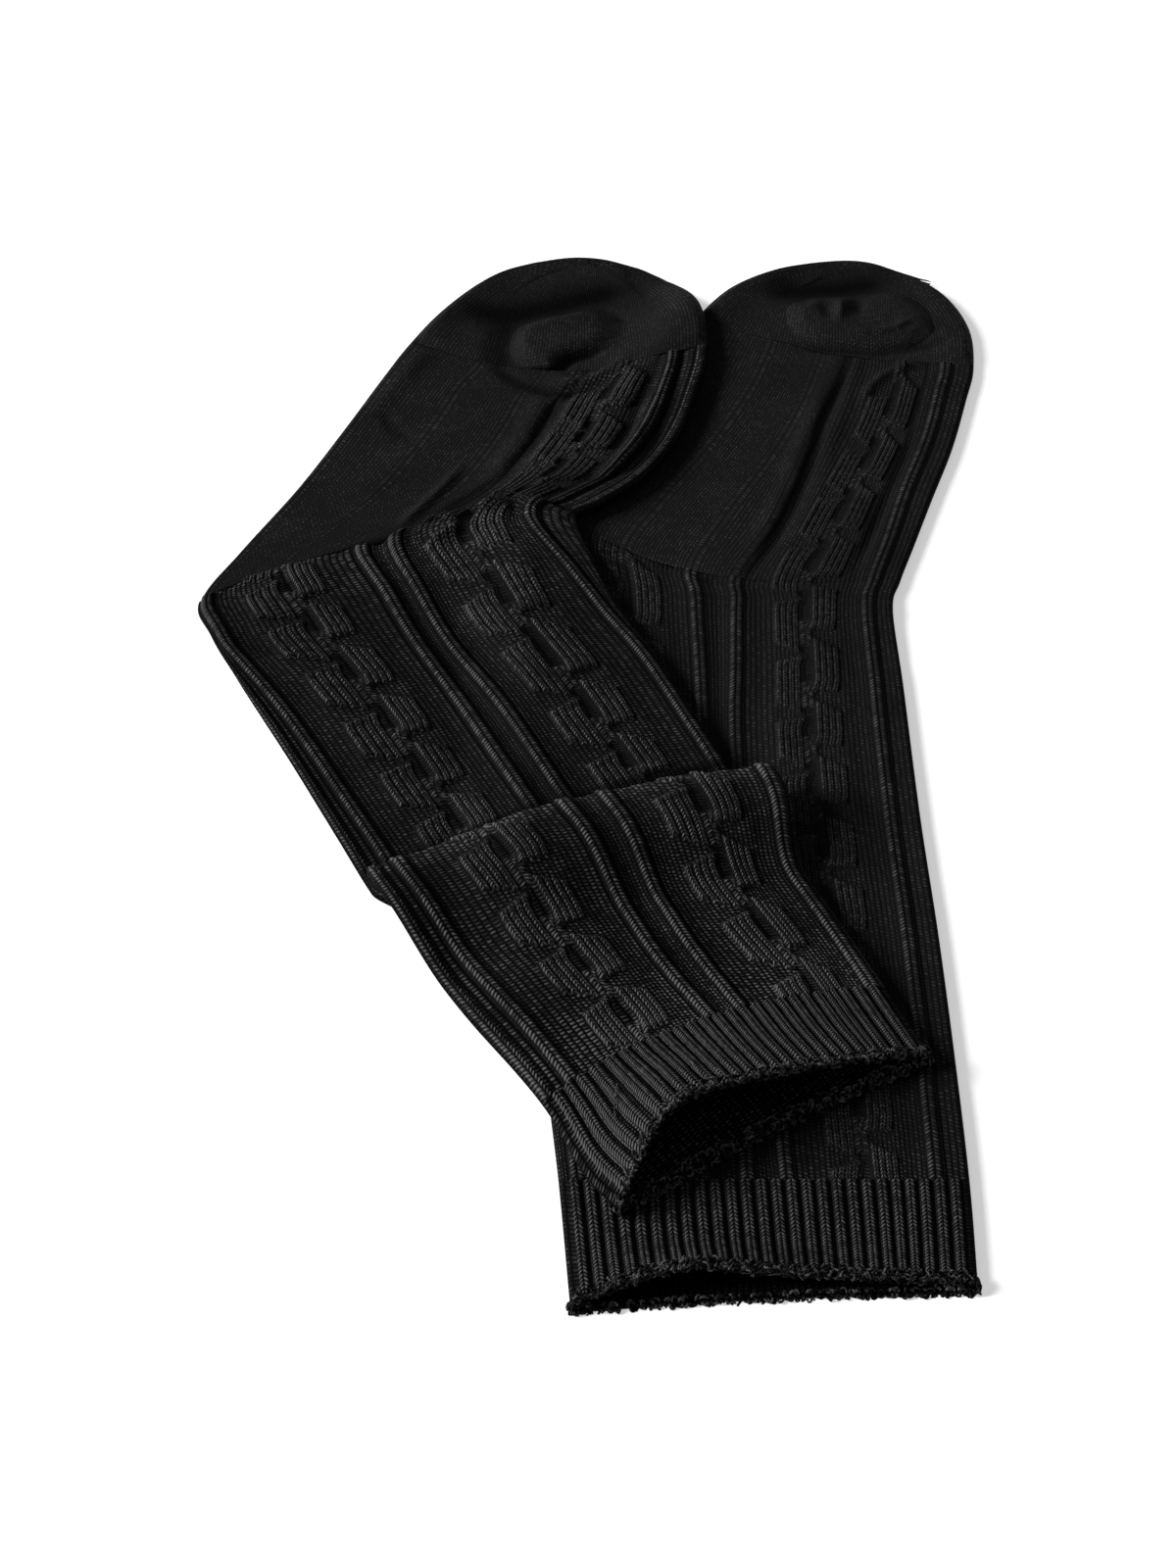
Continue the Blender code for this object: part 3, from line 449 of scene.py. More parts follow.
class Course:
    """The way a flat sock runs over the table."""

    SAMPLES = 40

    def __init__(self, sections):
        self.names = [row[0] for row in sections]
        self.table = np.array([row[1:] for row in sections], dtype=float)
        self.stops = np.linspace(0, len(sections) - 1, self.SAMPLES * (len(sections) - 1) + 1)
        x, y = self.place_at(self.stops, 0.5)
        steps = np.hypot(np.diff(x), np.diff(y))
        self.lengths = np.concatenate(([0.0], np.cumsum(steps)))
        self.end = self.lengths[-1]

    def stop(self, along):
        return np.interp(along, self.lengths, self.stops)

    def along(self, name):
        return float(self.lengths[self.names.index(name) * self.SAMPLES])

    def section(self, stop):
        """Its left and its right end, how far it bows, and how far the tube is turned."""
        return np.moveaxis(spline(self.table, stop), -1, 0)

    def chord(self, stop):
        left_x, left_y, right_x, right_y = self.section(stop)[:4]
        return right_x - left_x, right_y - left_y, np.hypot(right_x - left_x, right_y - left_y)

    def place_at(self, stop, across):
        left_x, left_y, _, _, bow, _ = self.section(stop)
        chord_x, chord_y, width = self.chord(stop)
        bow = 4 * across * (1 - across) * bow
        return (left_x + across * chord_x - bow * (chord_y / width),
                left_y + across * chord_y + bow * (chord_x / width))

    def slants(self, along, step=0.05):
        """Near the toe: how much wider than square to the left and to the right edge a row cuts."""
        near = rise(along, self.along("ball"), self.along("toe seam") - self.along("ball"))
        stop = np.clip(self.stop(along), step, self.stops[-1] - step)
        chord_x, chord_y, width = self.chord(stop)
        edges = self.section(stop + step) - self.section(stop - step)
        squares = [np.abs(chord_x / width * y - chord_y / width * x) / np.hypot(x, y)
                   for x, y in (edges[:2], edges[2:4])]
        return [1 + near * (1 / np.maximum(square, 0.4) - 1) for square in squares]


class Sock:
    """A flat sock: its course, its height above the table, its fold and its mouth."""

    def __init__(self, name, below=None):
        self.name = name
        self.course = Course(SECTIONS[name])
        self.below = below
        self.fold_at = self.course.along("fold") if below else None
        self.extra = 2 * math.pi * FOLD_RADIUS + 2 * FOLD_DEPTH if below else 0.0
        self.end = self.course.end + self.extra

    def along(self, place):
        length = self.course.along(place)
        return length + self.extra if self.below and length > self.fold_at else length

    def fold_turns(self):
        """Where the fold's first turn starts and ends, and where its second one does."""
        turn = math.pi * FOLD_RADIUS
        first = self.fold_at
        return first, first + turn, first + turn + FOLD_DEPTH, first + 2 * turn + FOLD_DEPTH

    def path(self, cloth):
        """The place along the course, the height over it, and the tilt of the cloth."""
        if not self.below:
            return cloth, 0.0, 0.0
        first, back, second, onward = self.fold_turns()
        radius = FOLD_RADIUS
        if cloth <= first:
            return cloth, 4 * radius * rise(cloth, first - FOLD_DEPTH - FOLD_RAMP, FOLD_RAMP), 0.0
        if cloth <= back:
            tilt = (cloth - first) / radius
            return first + radius * math.sin(tilt), 3 * radius + radius * math.cos(tilt), tilt
        if cloth <= second:
            return first - (cloth - back), 2 * radius, math.pi
        if cloth <= onward:
            tilt = (cloth - second) / radius
            return (first - FOLD_DEPTH - radius * math.sin(tilt), radius + radius * math.cos(tilt),
                    math.pi - tilt)
        return first - FOLD_DEPTH + cloth - onward, 0.0, 0.0

    def folding(self, cloth):
        """What a fold leaves of the pattern's height, and how far it slides and tucks the cloth."""
        if not self.below:
            return 1.0, 0.0, 0.0
        first, back, second, onward = self.fold_turns()
        ramp = FOLD_DEPTH + FOLD_RAMP
        if cloth < back:
            relief = 1 - rise(cloth, first, 0.6 * (back - first))
            return relief, rise(cloth, first - ramp, ramp), 0.0
        turned = rise(cloth, back, second - back)
        relief = rise(cloth, onward + FOLD_DEPTH + 1.0, HALF + FOLD_RADIUS)
        return relief, 1 - turned, FOLD_TUCK * turned * (1 - rise(cloth, onward, FOLD_DEPTH))

    def base(self, x, y):
        """The height of what lies below: the lower sock, with a ramp up to its left edge."""
        if not self.below:
            return np.zeros_like(x)
        left_x, left_y = self.below.course.table[:, :2].T
        return OVER_HEIGHT * rise(x, np.interp(y, left_y, left_x) - OVER_RAMP, OVER_RAMP)

    def mouth_form(self, cloth, across):
        """How far the top layer is lifted, and how far its edge is set back."""
        mouth = MOUTHS[self.name]
        near = 1 - smooth(cloth / MOUTH_DEPTHS[self.name])
        share, lift, setback = spline(mouth, np.linspace(0, len(mouth) - 1, 60)).T
        return (near * np.interp(across, share, np.maximum(lift, 0.0)),
                near * np.interp(across, share, setback))

    def ankle_form(self, cloth, across):
        """How far the front of the upper ankle hangs over its foot, and how far it is raised."""
        if not self.below:
            return 0.0, 0.0
        away = cloth - self.along("heel")
        bulge = front_half(across) * bell(away, ANKLE_REACH)
        return ANKLE_OVERHANG * bulge, ANKLE_RAISE * bulge * (away < 0)

    def toe_height(self, cloth, across, width):
        """The puffy rim along the toe cap's outline, and the crown inside it."""
        from_side = np.minimum(across, 1 - across) * width
        from_tip = (self.end - cloth) * (1 - 0.5 * (2 * across - 1) ** 2)
        inward = -np.log(np.exp(-RIM_BLEND * from_side / RIM_WIDTH)
                         + np.exp(-RIM_BLEND * from_tip / RIM_WIDTH)) / RIM_BLEND
        rim = smooth(inward / 0.4) * (1 - rise(inward, 0.45, 1.6))
        start = rise(cloth, self.along("toe seam"), CABLE_PERIOD / 4)
        return (RIM_HEIGHT * rim + CROWN_HEIGHT * smooth(inward - 1)) * start

    def ring(self, cloth, lanes, outer):
        """The points of one row of lanes, on the wall's outer or its inner side."""
        along, height, tilt = self.path(cloth)
        relief, slide, tuck = self.folding(cloth)
        course = self.course
        stop = course.stop(along)
        width = course.chord(stop)[2]
        turned = course.section(stop)[5] / width
        across = lanes.share + turned * 4 * lanes.share * (1 - lanes.share)
        inset = lanes.inset - lanes.side * relief * lanes.raised if outer else lanes.inner_inset
        slant = np.where(lanes.inset > 0, *course.slants(along))
        across = across + inset * slant / width
        inner = np.clip(across, 0, 1)
        top = np.clip(lanes.level, 0.0, 1.0)
        rounding = self.end - cloth - (0 if outer else WALL)
        plump = math.sqrt(max(1 - max(1 - rounding / HALF, 0.0) ** 2, FLATTEST_TIP))
        normal = lanes.level * (HALF if outer else HOLLOW / 2) * plump
        lift, setback = self.mouth_form(cloth, across)
        overhang, swell = self.ankle_form(cloth, across)
        if outer:
            normal = normal + lanes.raised * relief * top
            if cloth > self.along("toe seam"):
                normal = normal + top * plump * self.toe_height(cloth, inner, width)
            normal = normal + top * swell
        corner = CORNER_BACK * rise(cloth, self.end - CORNER_REACH, CORNER_REACH)
        drawn = corner * np.abs(2 * inner - 1) ** 3
        over = along - drawn + top * setback + overhang + normal * math.sin(tilt)
        x, y = course.place_at(course.stop(over), across)
        x = x + slide * across ** 2 * FOLD_SLIDE[0] + tuck * (1 - across) ** 2
        y = y + slide * across ** 2 * FOLD_SLIDE[1]
        z = self.base(x, y) + HALF + height + top * lift + normal * math.cos(tilt)
        return np.stack((x - CENTRE[0], y - CENTRE[1], z), axis=1)

    def places(self, cloth, wales):
        """Where the wales stand across the top layer."""
        near = cloth + np.array([-CHART_BLEND, 0.0, CHART_BLEND])
        stops, *columns = zip(*CHARTS[self.name])
        anchors = [(0, -SPARE)]
        for wale, column in zip(CHART_WALES, columns):
            place = np.interp(near, stops, column).mean()
            if wale in (LEFT_CABLE, RIGHT_CABLE):
                width = COLUMN_WIDTHS[self.name][wale == RIGHT_CABLE]
                low, high = place - COLUMN_GAP, place + COLUMN_GAP
                anchors += [(wale, low - width), (wale + COLUMN_WALES, low),
                            (wale + COLUMN_WALES + 1, high),
                            (wale + 2 * COLUMN_WALES + 1, high + width)]
            else:
                anchors += [(wale, place - RIB_HALF), (wale + 1, place + RIB_HALF)]
        known, stands = zip(*anchors, (LAST_WALE, LEG_WIDTH + SPARE))
        return np.interp(wales, known, np.maximum.accumulate(stands))


def folded(places):
    """How far a place over the cloth is from its side fold, and how far round the fold it is."""
    turn = np.clip((places + SPARE) / HALF, 0, math.pi / 2)
    return HALF * (1 - np.cos(turn)) + np.maximum(places - HALF, 0), turn


class Lanes:
    """The points of one row: the top layer with both folds' upper halves, then the underside.

    Places are measured over the cloth from the left fold, so a rib can stand on a fold.
    """

    def __init__(self, places, raised):
        count = len(places)
        (from_left, left), (from_right, right) = folded(places), folded(LEG_WIDTH - places)
        top_place = np.where(places < LEG_WIDTH / 2, from_left, LEG_WIDTH - from_right)
        turned = np.linspace(0, math.pi / 2, FOLD_POINTS + 1)[1:]
        across = np.linspace(LEG_WIDTH - HALF, HALF, UNDER_POINTS)[1:-1]
        fold = HALF * (1 - np.cos(turned))
        self.place = np.concatenate([top_place, LEG_WIDTH - fold, across, fold[::-1]])
        self.level = np.concatenate([np.minimum(np.sin(left), np.sin(right)), -np.sin(turned),
                                     -np.ones(len(across)), -np.sin(turned[::-1])])
        self.raised, self.side = np.zeros((2, len(self.place)))
        self.raised[:count] = raised
        self.side[:count] = np.cos(left) - np.cos(right)
        from_right = LEG_WIDTH - self.place
        near_left = 1 - rise(self.place, SIDE_KEPT, SIDE_BLEND)
        near_right = 1 - rise(from_right, SIDE_KEPT, SIDE_BLEND)
        self.share = self.place / LEG_WIDTH * (1 - near_left - near_right) + near_right
        self.inset = self.place * near_left - from_right * near_right
        self.inner_inset = np.where(self.place < SIDE_WALL, SIDE_WALL,
                                    np.where(from_right < SIDE_WALL, -SIDE_WALL, self.inset))

    def __len__(self):
        return len(self.place)


# The knitted pattern: what stands out, what is knit rather than purl, how much shade is painted
# into its hollows, and how far the stitches are shifted across.
Knit = namedtuple("Knit", "raised knit hollow shift", defaults=(0.0,))


def stronger(first, second):
    return Knit(np.maximum(first.raised, second.raised) + np.minimum(first.raised, 0),
                np.maximum(first.knit, second.knit), np.maximum(first.hollow, second.hollow),
                first.shift + second.shift)


def rib_form(wale, middle, height=RIB_HEIGHT):
    """A knit wale on a purl ground: a round ridge with a line between its two rows of legs."""
    side = wale - middle
    away = np.abs(side)
    raised = height * dome(away, RIB_EDGE, 2.6) * (1 - 0.3 * side) - 0.5 * bell(away, 0.12)
    # Painted shade at the rib's foot and along its middle line, and on its right half, away from
    # the light
    hollow = (bell(away - 0.74, 0.2) + 0.5 * bell(away, 0.07)
              + 0.5 * smooth(side / 0.2) * (away < 0.55))
    return Knit(raised * (away < RIB_EDGE), (away < 0.53).astype(float), hollow)


def around(ends, cloth):
    """The cell's end before a place along the cloth, and the one after it."""
    index = int(np.clip(np.searchsorted(ends, cloth, side="right") - 1, 0, len(ends) - 2))
    return ends[index], ends[index + 1]


def cable_form(wale, cloth, groove, cells, width):
    """Two columns of raised cells, with holes between them and strands that cross below each."""
    raised, knit, hollow, shift = np.zeros((4, len(wale)))
    for ends, edges, side in zip(cells, CELL_EDGES, (-1, 1)):
        end, following = around(ends, cloth - edges.start)
        away = cloth - end - edges.start
        ahead = following + edges.stop - cloth
        hook = HOOK * bell(max(away if side > 0 else ahead, 0), 3.2)
        out = (side * (wale - groove) - 0.5) * width / COLUMN_WALES + hook
        from_end = np.minimum(away - edges.start_slope * np.clip(out, 0, None),
                              ahead - edges.stop_slope * np.clip(out, 0, None))
        shoulder = rise(out, -0.4, 0.7) * smooth((width + 0.3 - out) / 0.8)
        form = smooth(from_end / 1.3 + 0.5) * shoulder * ((out > -0.6) & (out < width + 0.6))
        wales = np.abs(np.sin(math.pi * out * COLUMN_WALES / width))
        puff = 0.3 * bell(from_end - 1.2, 1.0)
        rightward = np.clip(out / width if side > 0 else 1 - out / width, 0, 1)
        raised = np.maximum(raised, CABLE_HEIGHT * form * (0.5 + 0.5 * wales ** 0.7 + puff)
                            * (1.2 - 0.5 * rightward))
        knit = np.maximum(knit, form)
        shift += side * hook * COLUMN_WALES / width * (form > 0)
        # Painted shade between a cell's wales, towards its right side away from the light, and at
        # its end
        cell_shade = form * 0.8 * (1 - smooth(wales / 0.5)) + 0.2 * form * smooth(rightward)
        rim = 0.25 * bell(from_end + 0.8, 0.6) * shoulder
        hollow = np.maximum(hollow, np.maximum(cell_shade, rim))
    end, following = around(cells[1], cloth)
    after, before = cloth - end, following - cloth
    is_hole = smooth((after - HOLE_START) / 1.6 + 0.5) * smooth((before - HOLE_STOP) / 1.6 + 0.5)
    away = np.abs(wale - groove)
    hole = dome(away, 0.42, 3) * is_hole
    bridge = dome(away, 0.62, 4) * (1 - is_hole)
    slope = (after if after < before else -before) - 1.1 * (wale - groove) * 2 * COLUMN_GAP
    strands = np.abs(np.sin(math.pi * slope / 3.4))
    raised = np.maximum(raised, (0.25 + 0.6 * strands) * bridge) - 0.4 * hole
    # Painted shade in the hole and between the strands of its bridge
    hollow = np.maximum(hollow * (1 - bridge), 0.65 * hole)
    hollow = np.maximum(hollow, 0.6 * bridge * (1 - strands))
    return Knit(raised, np.maximum(knit, 0.9 * bridge), hollow, shift)


def ground(wale):
    raised, hollow = np.zeros((2, len(wale)))
    for low, high, depth in GROUND_SAGS:
        sag = np.sin(math.pi * np.clip((wale - low) / (high - low), 0, 1))
        raised = raised - depth * sag ** 2
        # Painted shade in the sag
        hollow = np.maximum(hollow, 0.35 * depth * sag)
    return Knit(raised, 0.0, hollow)


def leg_pattern(sock, cloth, wale, foot=False):
    form = ground(wale)
    ribs = [(RIGHT_RIB + 0.5, RIB_HEIGHT)]
    if not foot:
        ribs += [(rib + 0.5, RIB_HEIGHT) for rib in (LEFT_RIB, MID_LEFT, MID_RIGHT)]
    if sock.below:
        ribs.append((EDGE_WALES[foot], EDGE_RIB_HEIGHT))
    cables = (LEFT_CABLE, RIGHT_CABLE)
    for cable, cells, width in list(zip(cables, CELLS[sock.name], COLUMN_WIDTHS[sock.name]))[foot:]:
        form = stronger(form, cable_form(wale, cloth, cable + COLUMN_WALES + 0.5, cells, width))
    for middle, height in ribs:
        form = stronger(form, rib_form(wale, middle, height))
    return form


def foot_pattern(sock, cloth, wale):
    """The leg's right part goes on over the instep; the sole is plain."""
    sole = 1 - rise(wale, SOLE_WALES, SOLE_BLEND)
    form = Knit(*(part * (1 - sole) for part in leg_pattern(sock, cloth, wale, foot=True)))
    return form._replace(knit=form.knit + sole)


def toe_pattern(sock, cloth, wale):
    return Knit(0.0, 1.0, 0.0)


def cuff_pattern(sock, cloth, wale):
    """Knit wales are the odd ones: a dome of V stitches; purl ones lie deep between them."""
    side = (wale - 0.5) % 2.0 - 1.0
    away = np.where((wale > 1) & (wale < 2 * CUFF_RIBS), np.abs(side), 1.0)
    stitch = (cloth / COURSE_HEIGHT + STITCH_LEAN * away) % 1.0
    legs = 1 - np.abs(2 * stitch - 1) ** 1.5
    raised = (CUFF_RIB_HEIGHT * dome(away, CUFF_RIB_EDGE, 2.2) * (0.65 + 0.5 * legs)
              - 0.35 * bell(away, 0.10)) * (away < CUFF_RIB_EDGE)
    # Painted shade on each rib's right leg, away from the light, and deep between the ribs
    right_leg_shade = 0.25 * smooth(side / 0.2) * (away < 0.6)
    hollow = np.maximum(right_leg_shade, 0.75 * rise(away, 0.55, 0.2))
    return Knit(raised, (away < 0.60).astype(float), hollow)


def cuff_places(sock, cloth, wales):
    pitch = LEG_WIDTH / (CUFF_RIBS + 1)
    half = CUFF_RIB_SHARE * pitch
    known, stands = [0], [-SPARE]
    for rib in range(1, CUFF_RIBS + 1):
        known += [2 * rib - 1, 2 * rib]
        stands += [rib * pitch - half, rib * pitch + half]
    return np.interp(wales, known + [2 * CUFF_RIBS + 1], stands + [LEG_WIDTH + SPARE])


def toe_places(sock, cloth, wales):
    return np.interp(wales, (0, LAST_WALE), (-SPARE, LEG_WIDTH + SPARE))


# The pieces of a sock
Plan = namedtuple("Plan", "name last_wale places pattern row inner_row")
PLANS = (
    Plan("cuff", 2 * CUFF_RIBS + 1, cuff_places, cuff_pattern, CUFF_ROW, CUFF_INNER_ROW),
    Plan("leg", LAST_WALE, Sock.places, leg_pattern, LEG_ROW, INNER_ROW),
    Plan("foot", LAST_WALE, Sock.places, foot_pattern, LEG_ROW, INNER_ROW),
    Plan("toe", LAST_WALE, toe_places, toe_pattern, TOE_ROW, INNER_ROW),
)


def from_line(points, x, y):
    """Distance to a line of points, and the share along it."""
    spans = np.diff(points, axis=0)
    lengths = np.hypot(spans[:, 0], spans[:, 1])
    starts = np.concatenate(([0], np.cumsum(lengths)))[:-1]
    nearest = np.full(x.shape, 1e9)
    along = np.zeros(x.shape)
    for (px, py), (run_x, run_y), length, start in zip(points, spans, lengths, starts):
        share = np.clip(((x - px) * run_x + (y - py) * run_y) / length ** 2, 0, 1)
        away = np.hypot(x - px - share * run_x, y - py - share * run_y)
        closer = away < nearest
        nearest = np.where(closer, away, nearest)
        along = np.where(closer, (start + share * length) / lengths.sum(), along)
    return nearest, along


def inside(points, x, y):
    within = np.zeros(x.shape, dtype=bool)
    for (ax, ay), (bx, by) in zip(points, points[1:] + points[:1]):
        within ^= ((ay > y) != (by > y)) & (x < (bx - ax) * (y - ay) / (by - ay + 1e-12) + ax)
    return within


def closed_curve(points, between=3):
    """A smooth closed line through the points."""
    at = 2 + np.arange(len(points) * between) / between
    return [tuple(place) for place in spline(points[-2:] + points + points[:3], at)]


def fold_height(forms, x, y):
    """How high the folds stand over the plain cloth, and the shade painted in their troughs."""
    total, shade = np.zeros((2,) + x.shape)
    for form in forms:
        if isinstance(form, Lobe):
            outline = closed_curve(form.points)
            away, _ = from_line(np.array(outline + outline[:1]), x, y)
            inward = np.where(inside(outline, x, y), np.clip(away / form.edge, 0, 1), 0)
            puff = 0.5 * np.sqrt(1 - (1 - inward) ** 2) + 0.5 * smooth(inward)
            total += form.height * puff * (1 - rise(x, form.fade_x, form.fade_width))
        else:
            height, width, *places = form
            away, along = from_line(np.reshape(places, (-1, 2)), x, y)
            taper = 0.35 + 0.65 * smooth(along / 0.2) * smooth((1 - along) / 0.2)
            profile = bell(away, width) * taper
            total += height * profile
            shade += max(-height, 0) ** 2 * TROUGH_SHADE * profile
    return total, np.clip(shade, 0, DARKEST_TROUGH)


def add_object(name, data):
    thing = bpy.data.objects.new(name, data)
    bpy.context.scene.collection.objects.link(thing)
    return thing


def yarn_object(name, points, faces, *layers):
    """A mesh of quads with the values that the yarn material reads, in UV maps."""
    mesh = bpy.data.meshes.new(name)
    mesh.vertices.add(len(points))
    mesh.vertices.foreach_set("co", (points * MM).ravel())
    mesh.loops.add(faces.size)
    mesh.loops.foreach_set("vertex_index", faces.ravel())
    mesh.polygons.add(len(faces))
    mesh.polygons.foreach_set("loop_start", np.arange(0, faces.size, 4))
    mesh.update(calc_edges=True)
    mesh.validate()
    mesh.shade_smooth()
    corner = np.empty(len(mesh.loops), dtype=np.int32)
    mesh.loops.foreach_get("vertex_index", corner)
    for title, values in zip(LAYERS, layers):
        layer = mesh.uv_layers.new(name=title)
        layer.uv.foreach_set("vector", values[corner].ravel().astype(np.float32))
    mesh.materials.append(YARN)
    piece = add_object(name, mesh)
    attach(piece, "root")
    return piece


def grid_faces(first, rings, count):
    place = np.arange(count)
    following = (place + 1) % count
    low = first + np.arange(rings - 1)[:, None] * count
    return np.stack([low + place, low + following, low + count + following, low + count + place],
                    axis=-1).reshape(-1, 4)


def shell_faces(outer_rings, inner_rings, count, cap=None):
    """A closed wall: outer rings, inner rings, and the rims that join them, or a tip's caps."""
    place = np.arange(count)
    following = (place + 1) % count
    inner = outer_rings * count
    outer_last = inner - count
    inner_last = inner + (inner_rings - 1) * count
    faces = [grid_faces(0, outer_rings, count), grid_faces(inner, inner_rings, count)[:, ::-1],
             np.stack([place, inner + place, inner + following, following], axis=-1)]
    if cap is None:
        faces.append(np.stack([outer_last + following, inner_last + following,
                               inner_last + place, outer_last + place], axis=-1))
    else:
        faces += [cap + outer_last, cap[:, ::-1] + inner_last]
    return np.concatenate(faces)


def tip_cap(top_count, count):
    """Joins each point of the top layer to the one of the underside below it."""
    low = (count - np.round(np.linspace(0, count - top_count + 1, top_count)).astype(int)) % count
    step = np.arange(top_count - 1)
    return np.stack([step, low[:-1], low[1:], step + 1], axis=1)


def wale_points(last_wale):
    """Points across the top layer, closer together on the ribs of a leg."""
    ribs = (LEFT_RIB, MID_LEFT, MID_RIGHT, RIGHT_RIB) if last_wale == LAST_WALE else ()
    counts = [RIB_POINTS if wale in ribs else WALE_POINTS for wale in range(last_wale)]
    return np.concatenate([wale + np.arange(count) / count for wale, count in enumerate(counts)]
                          + [[float(last_wale)]])


def rows_between(start, end, step):
    return np.linspace(start, end, max(int(round((end - start) / step)), 2) + 1)


def refined(rows, fine, last):
    return np.unique(np.concatenate([rows[(rows < fine[0]) | (rows > last)], fine]))


def piece_rows(sock, plan, start, end):
    """The outer and the inner rows, in places along the cloth."""
    closed = plan.name == "toe"
    outer = rows_between(start, end, plan.row)
    inner = rows_between(start, end - (WALL if closed else 0), plan.inner_row)
    if sock.below and start < sock.fold_at < end:
        first, _, _, onward = sock.fold_turns()
        fine = np.arange(first, onward + FOLD_DEPTH + PAST_LAP, LAP_ROW)
        outer = refined(outer, fine, fine[-1])
        inner = refined(inner, np.arange(first, onward, LAP_INNER_ROW), onward)
    if closed:
        tip = end - HALF * (1 - np.sin(np.linspace(0, math.pi / 2, TIP_ROWS)))
        outer = np.concatenate([outer[outer < end - HALF], tip])
    return outer, inner


def row_looks(sock, name, cloth, wales, form, count, outer):
    """For a row's points: how knit they are, the shade painted on them, and how crisp and how
    light.
    """
    top = slice(len(wales))
    at, *values = TONES[sock.name]
    plain = SOLE_TONE if name == "toe" else [np.interp(cloth, at, value) for value in values]
    tone = np.tile(np.array(plain, dtype=float), (count, 1))
    kind = np.zeros((count, 2))
    if outer:
        kind[top, 0] = form.knit
        kind[top, 1] = form.hollow * HOLLOW_SHADES[sock.name]
    else:
        # Painted shade on the inner side
        tone[:, 1] *= INNER_SHADE
    if outer and sock.below and name == "leg":
        emerges = sock.fold_turns()[3] + FOLD_DEPTH + LAP_HIDES
        # Painted shade where the leg comes out from under the lap, and a painted highlight along
        # the lap's edge
        kind[top, 1] = np.maximum(kind[top, 1], LAP_SHADE * bell(cloth - emerges, LAP_WIDTH))
        tone[top, 1] *= 1 + LAP_HIGHLIGHT * bell(cloth - sock.fold_at, LAP_WIDTH)
    if name == "foot":
        sole = 1 - rise(wales, SOLE_WALES, SOLE_BLEND)[:, None]
        tone[top] = (1 - sole) * tone[top] + sole * np.array(SOLE_TONE)
        if outer and sock.below:
            # Painted shade under the leg's lip, where it lies over the foot
            lip_shade = LIP_SHADE * bell(cloth - sock.along("heel"), LIP_SHADE_WIDTH)
            kind[top, 1] = np.maximum(kind[top, 1], lip_shade * rise(wales, *LIP_WALES))
    return kind, tone


def ankle_lip(sock, rows, across):
    """The front of the leg ends in a rounded lip that lies over the foot."""
    back = sock.along("heel") - rows
    tip = np.sqrt(np.clip(1 - (1 - np.clip(back / LIP_ROUND, 0, 1)) ** 2, 0, 1))
    height = LIP_HEIGHT * (1 - smooth(back / LIP_REACH)) * (0.35 + 0.65 * tip)
    return height[:, None] * front_half(across)[None, :] ** 0.7


def build_piece(sock, plan, start, end):
    wales = wale_points(plan.last_wale)
    outer_rows, inner_rows = piece_rows(sock, plan, start, end)
    points, stitches, kinds, tones = [], [], [], []
    for rows in (outer_rows, inner_rows):
        for cloth in rows:
            form = plan.pattern(sock, cloth, wales)
            lanes = Lanes(plan.places(sock, cloth, wales), form.raised * RELIEF[sock.name])
            count = len(lanes)
            points.append(sock.ring(cloth, lanes, rows is outer_rows))
            low = np.linspace(plan.last_wale, 2 * plan.last_wale, count - len(wales) + 2)[1:-1]
            stitches.append(np.stack([np.concatenate([wales + form.shift, low]),
                                      np.full(count, cloth / COURSE_HEIGHT)], axis=1))
            kind, tone = row_looks(sock, plan.name, cloth, wales, form, count, rows is outer_rows)
            kinds.append(kind)
            tones.append(tone)
    outer = np.array(points[:len(outer_rows)])
    inner = np.array(points[len(outer_rows):])
    node = f"{sock.name}_{plan.name}"
    height, shade = fold_height(FORMS.get(node, ()), outer[..., 0], outer[..., 1])
    height = np.where(height < 0, DEEPEST * np.tanh(height / DEEPEST), height)
    facing = np.cos([sock.path(cloth)[2] for cloth in outer_rows])[:, None]
    upper = np.clip(lanes.level, 0, 1) * np.clip(facing, 0, 1)
    outer[..., 2] += height * upper
    if plan.name == "leg" and sock.below:
        outer[..., 2] += ankle_lip(sock, outer_rows, lanes.share) * upper
    hidden, _ = fold_height(HIDDEN_FORMS[sock.name], outer[..., 0], outer[..., 1])
    outer[..., 2] += hidden * (lanes.level < -0.99)
    kinds = np.concatenate(kinds)
    kinds[:shade.size, 1] = np.maximum(kinds[:shade.size, 1], (shade * upper).ravel())
    cap = tip_cap(len(wales), count) if plan.name == "toe" else None
    piece = yarn_object(f"{node}_knit",
                        np.concatenate([outer.reshape(-1, 3), inner.reshape(-1, 3)]),
                        shell_faces(len(outer_rows), len(inner_rows), count, cap),
                        np.concatenate(stitches), kinds, np.concatenate(tones))
    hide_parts(node)
    return piece


def tube_mesh(path, radius, sides):
    run = np.gradient(path, axis=0)
    run = run / np.linalg.norm(run, axis=1)[:, None]
    across = np.cross(run, (0.13, 0.21, 0.97))
    across = across / np.linalg.norm(across, axis=1)[:, None]
    other = np.cross(across, run)
    turn = np.linspace(0, 2 * math.pi, sides, endpoint=False)
    ring = (np.cos(turn)[None, :, None] * across[:, None, :]
            + np.sin(turn)[None, :, None] * other[:, None, :])
    return (path[:, None, :] + radius * ring).reshape(-1, 3), grid_faces(0, len(path), sides)


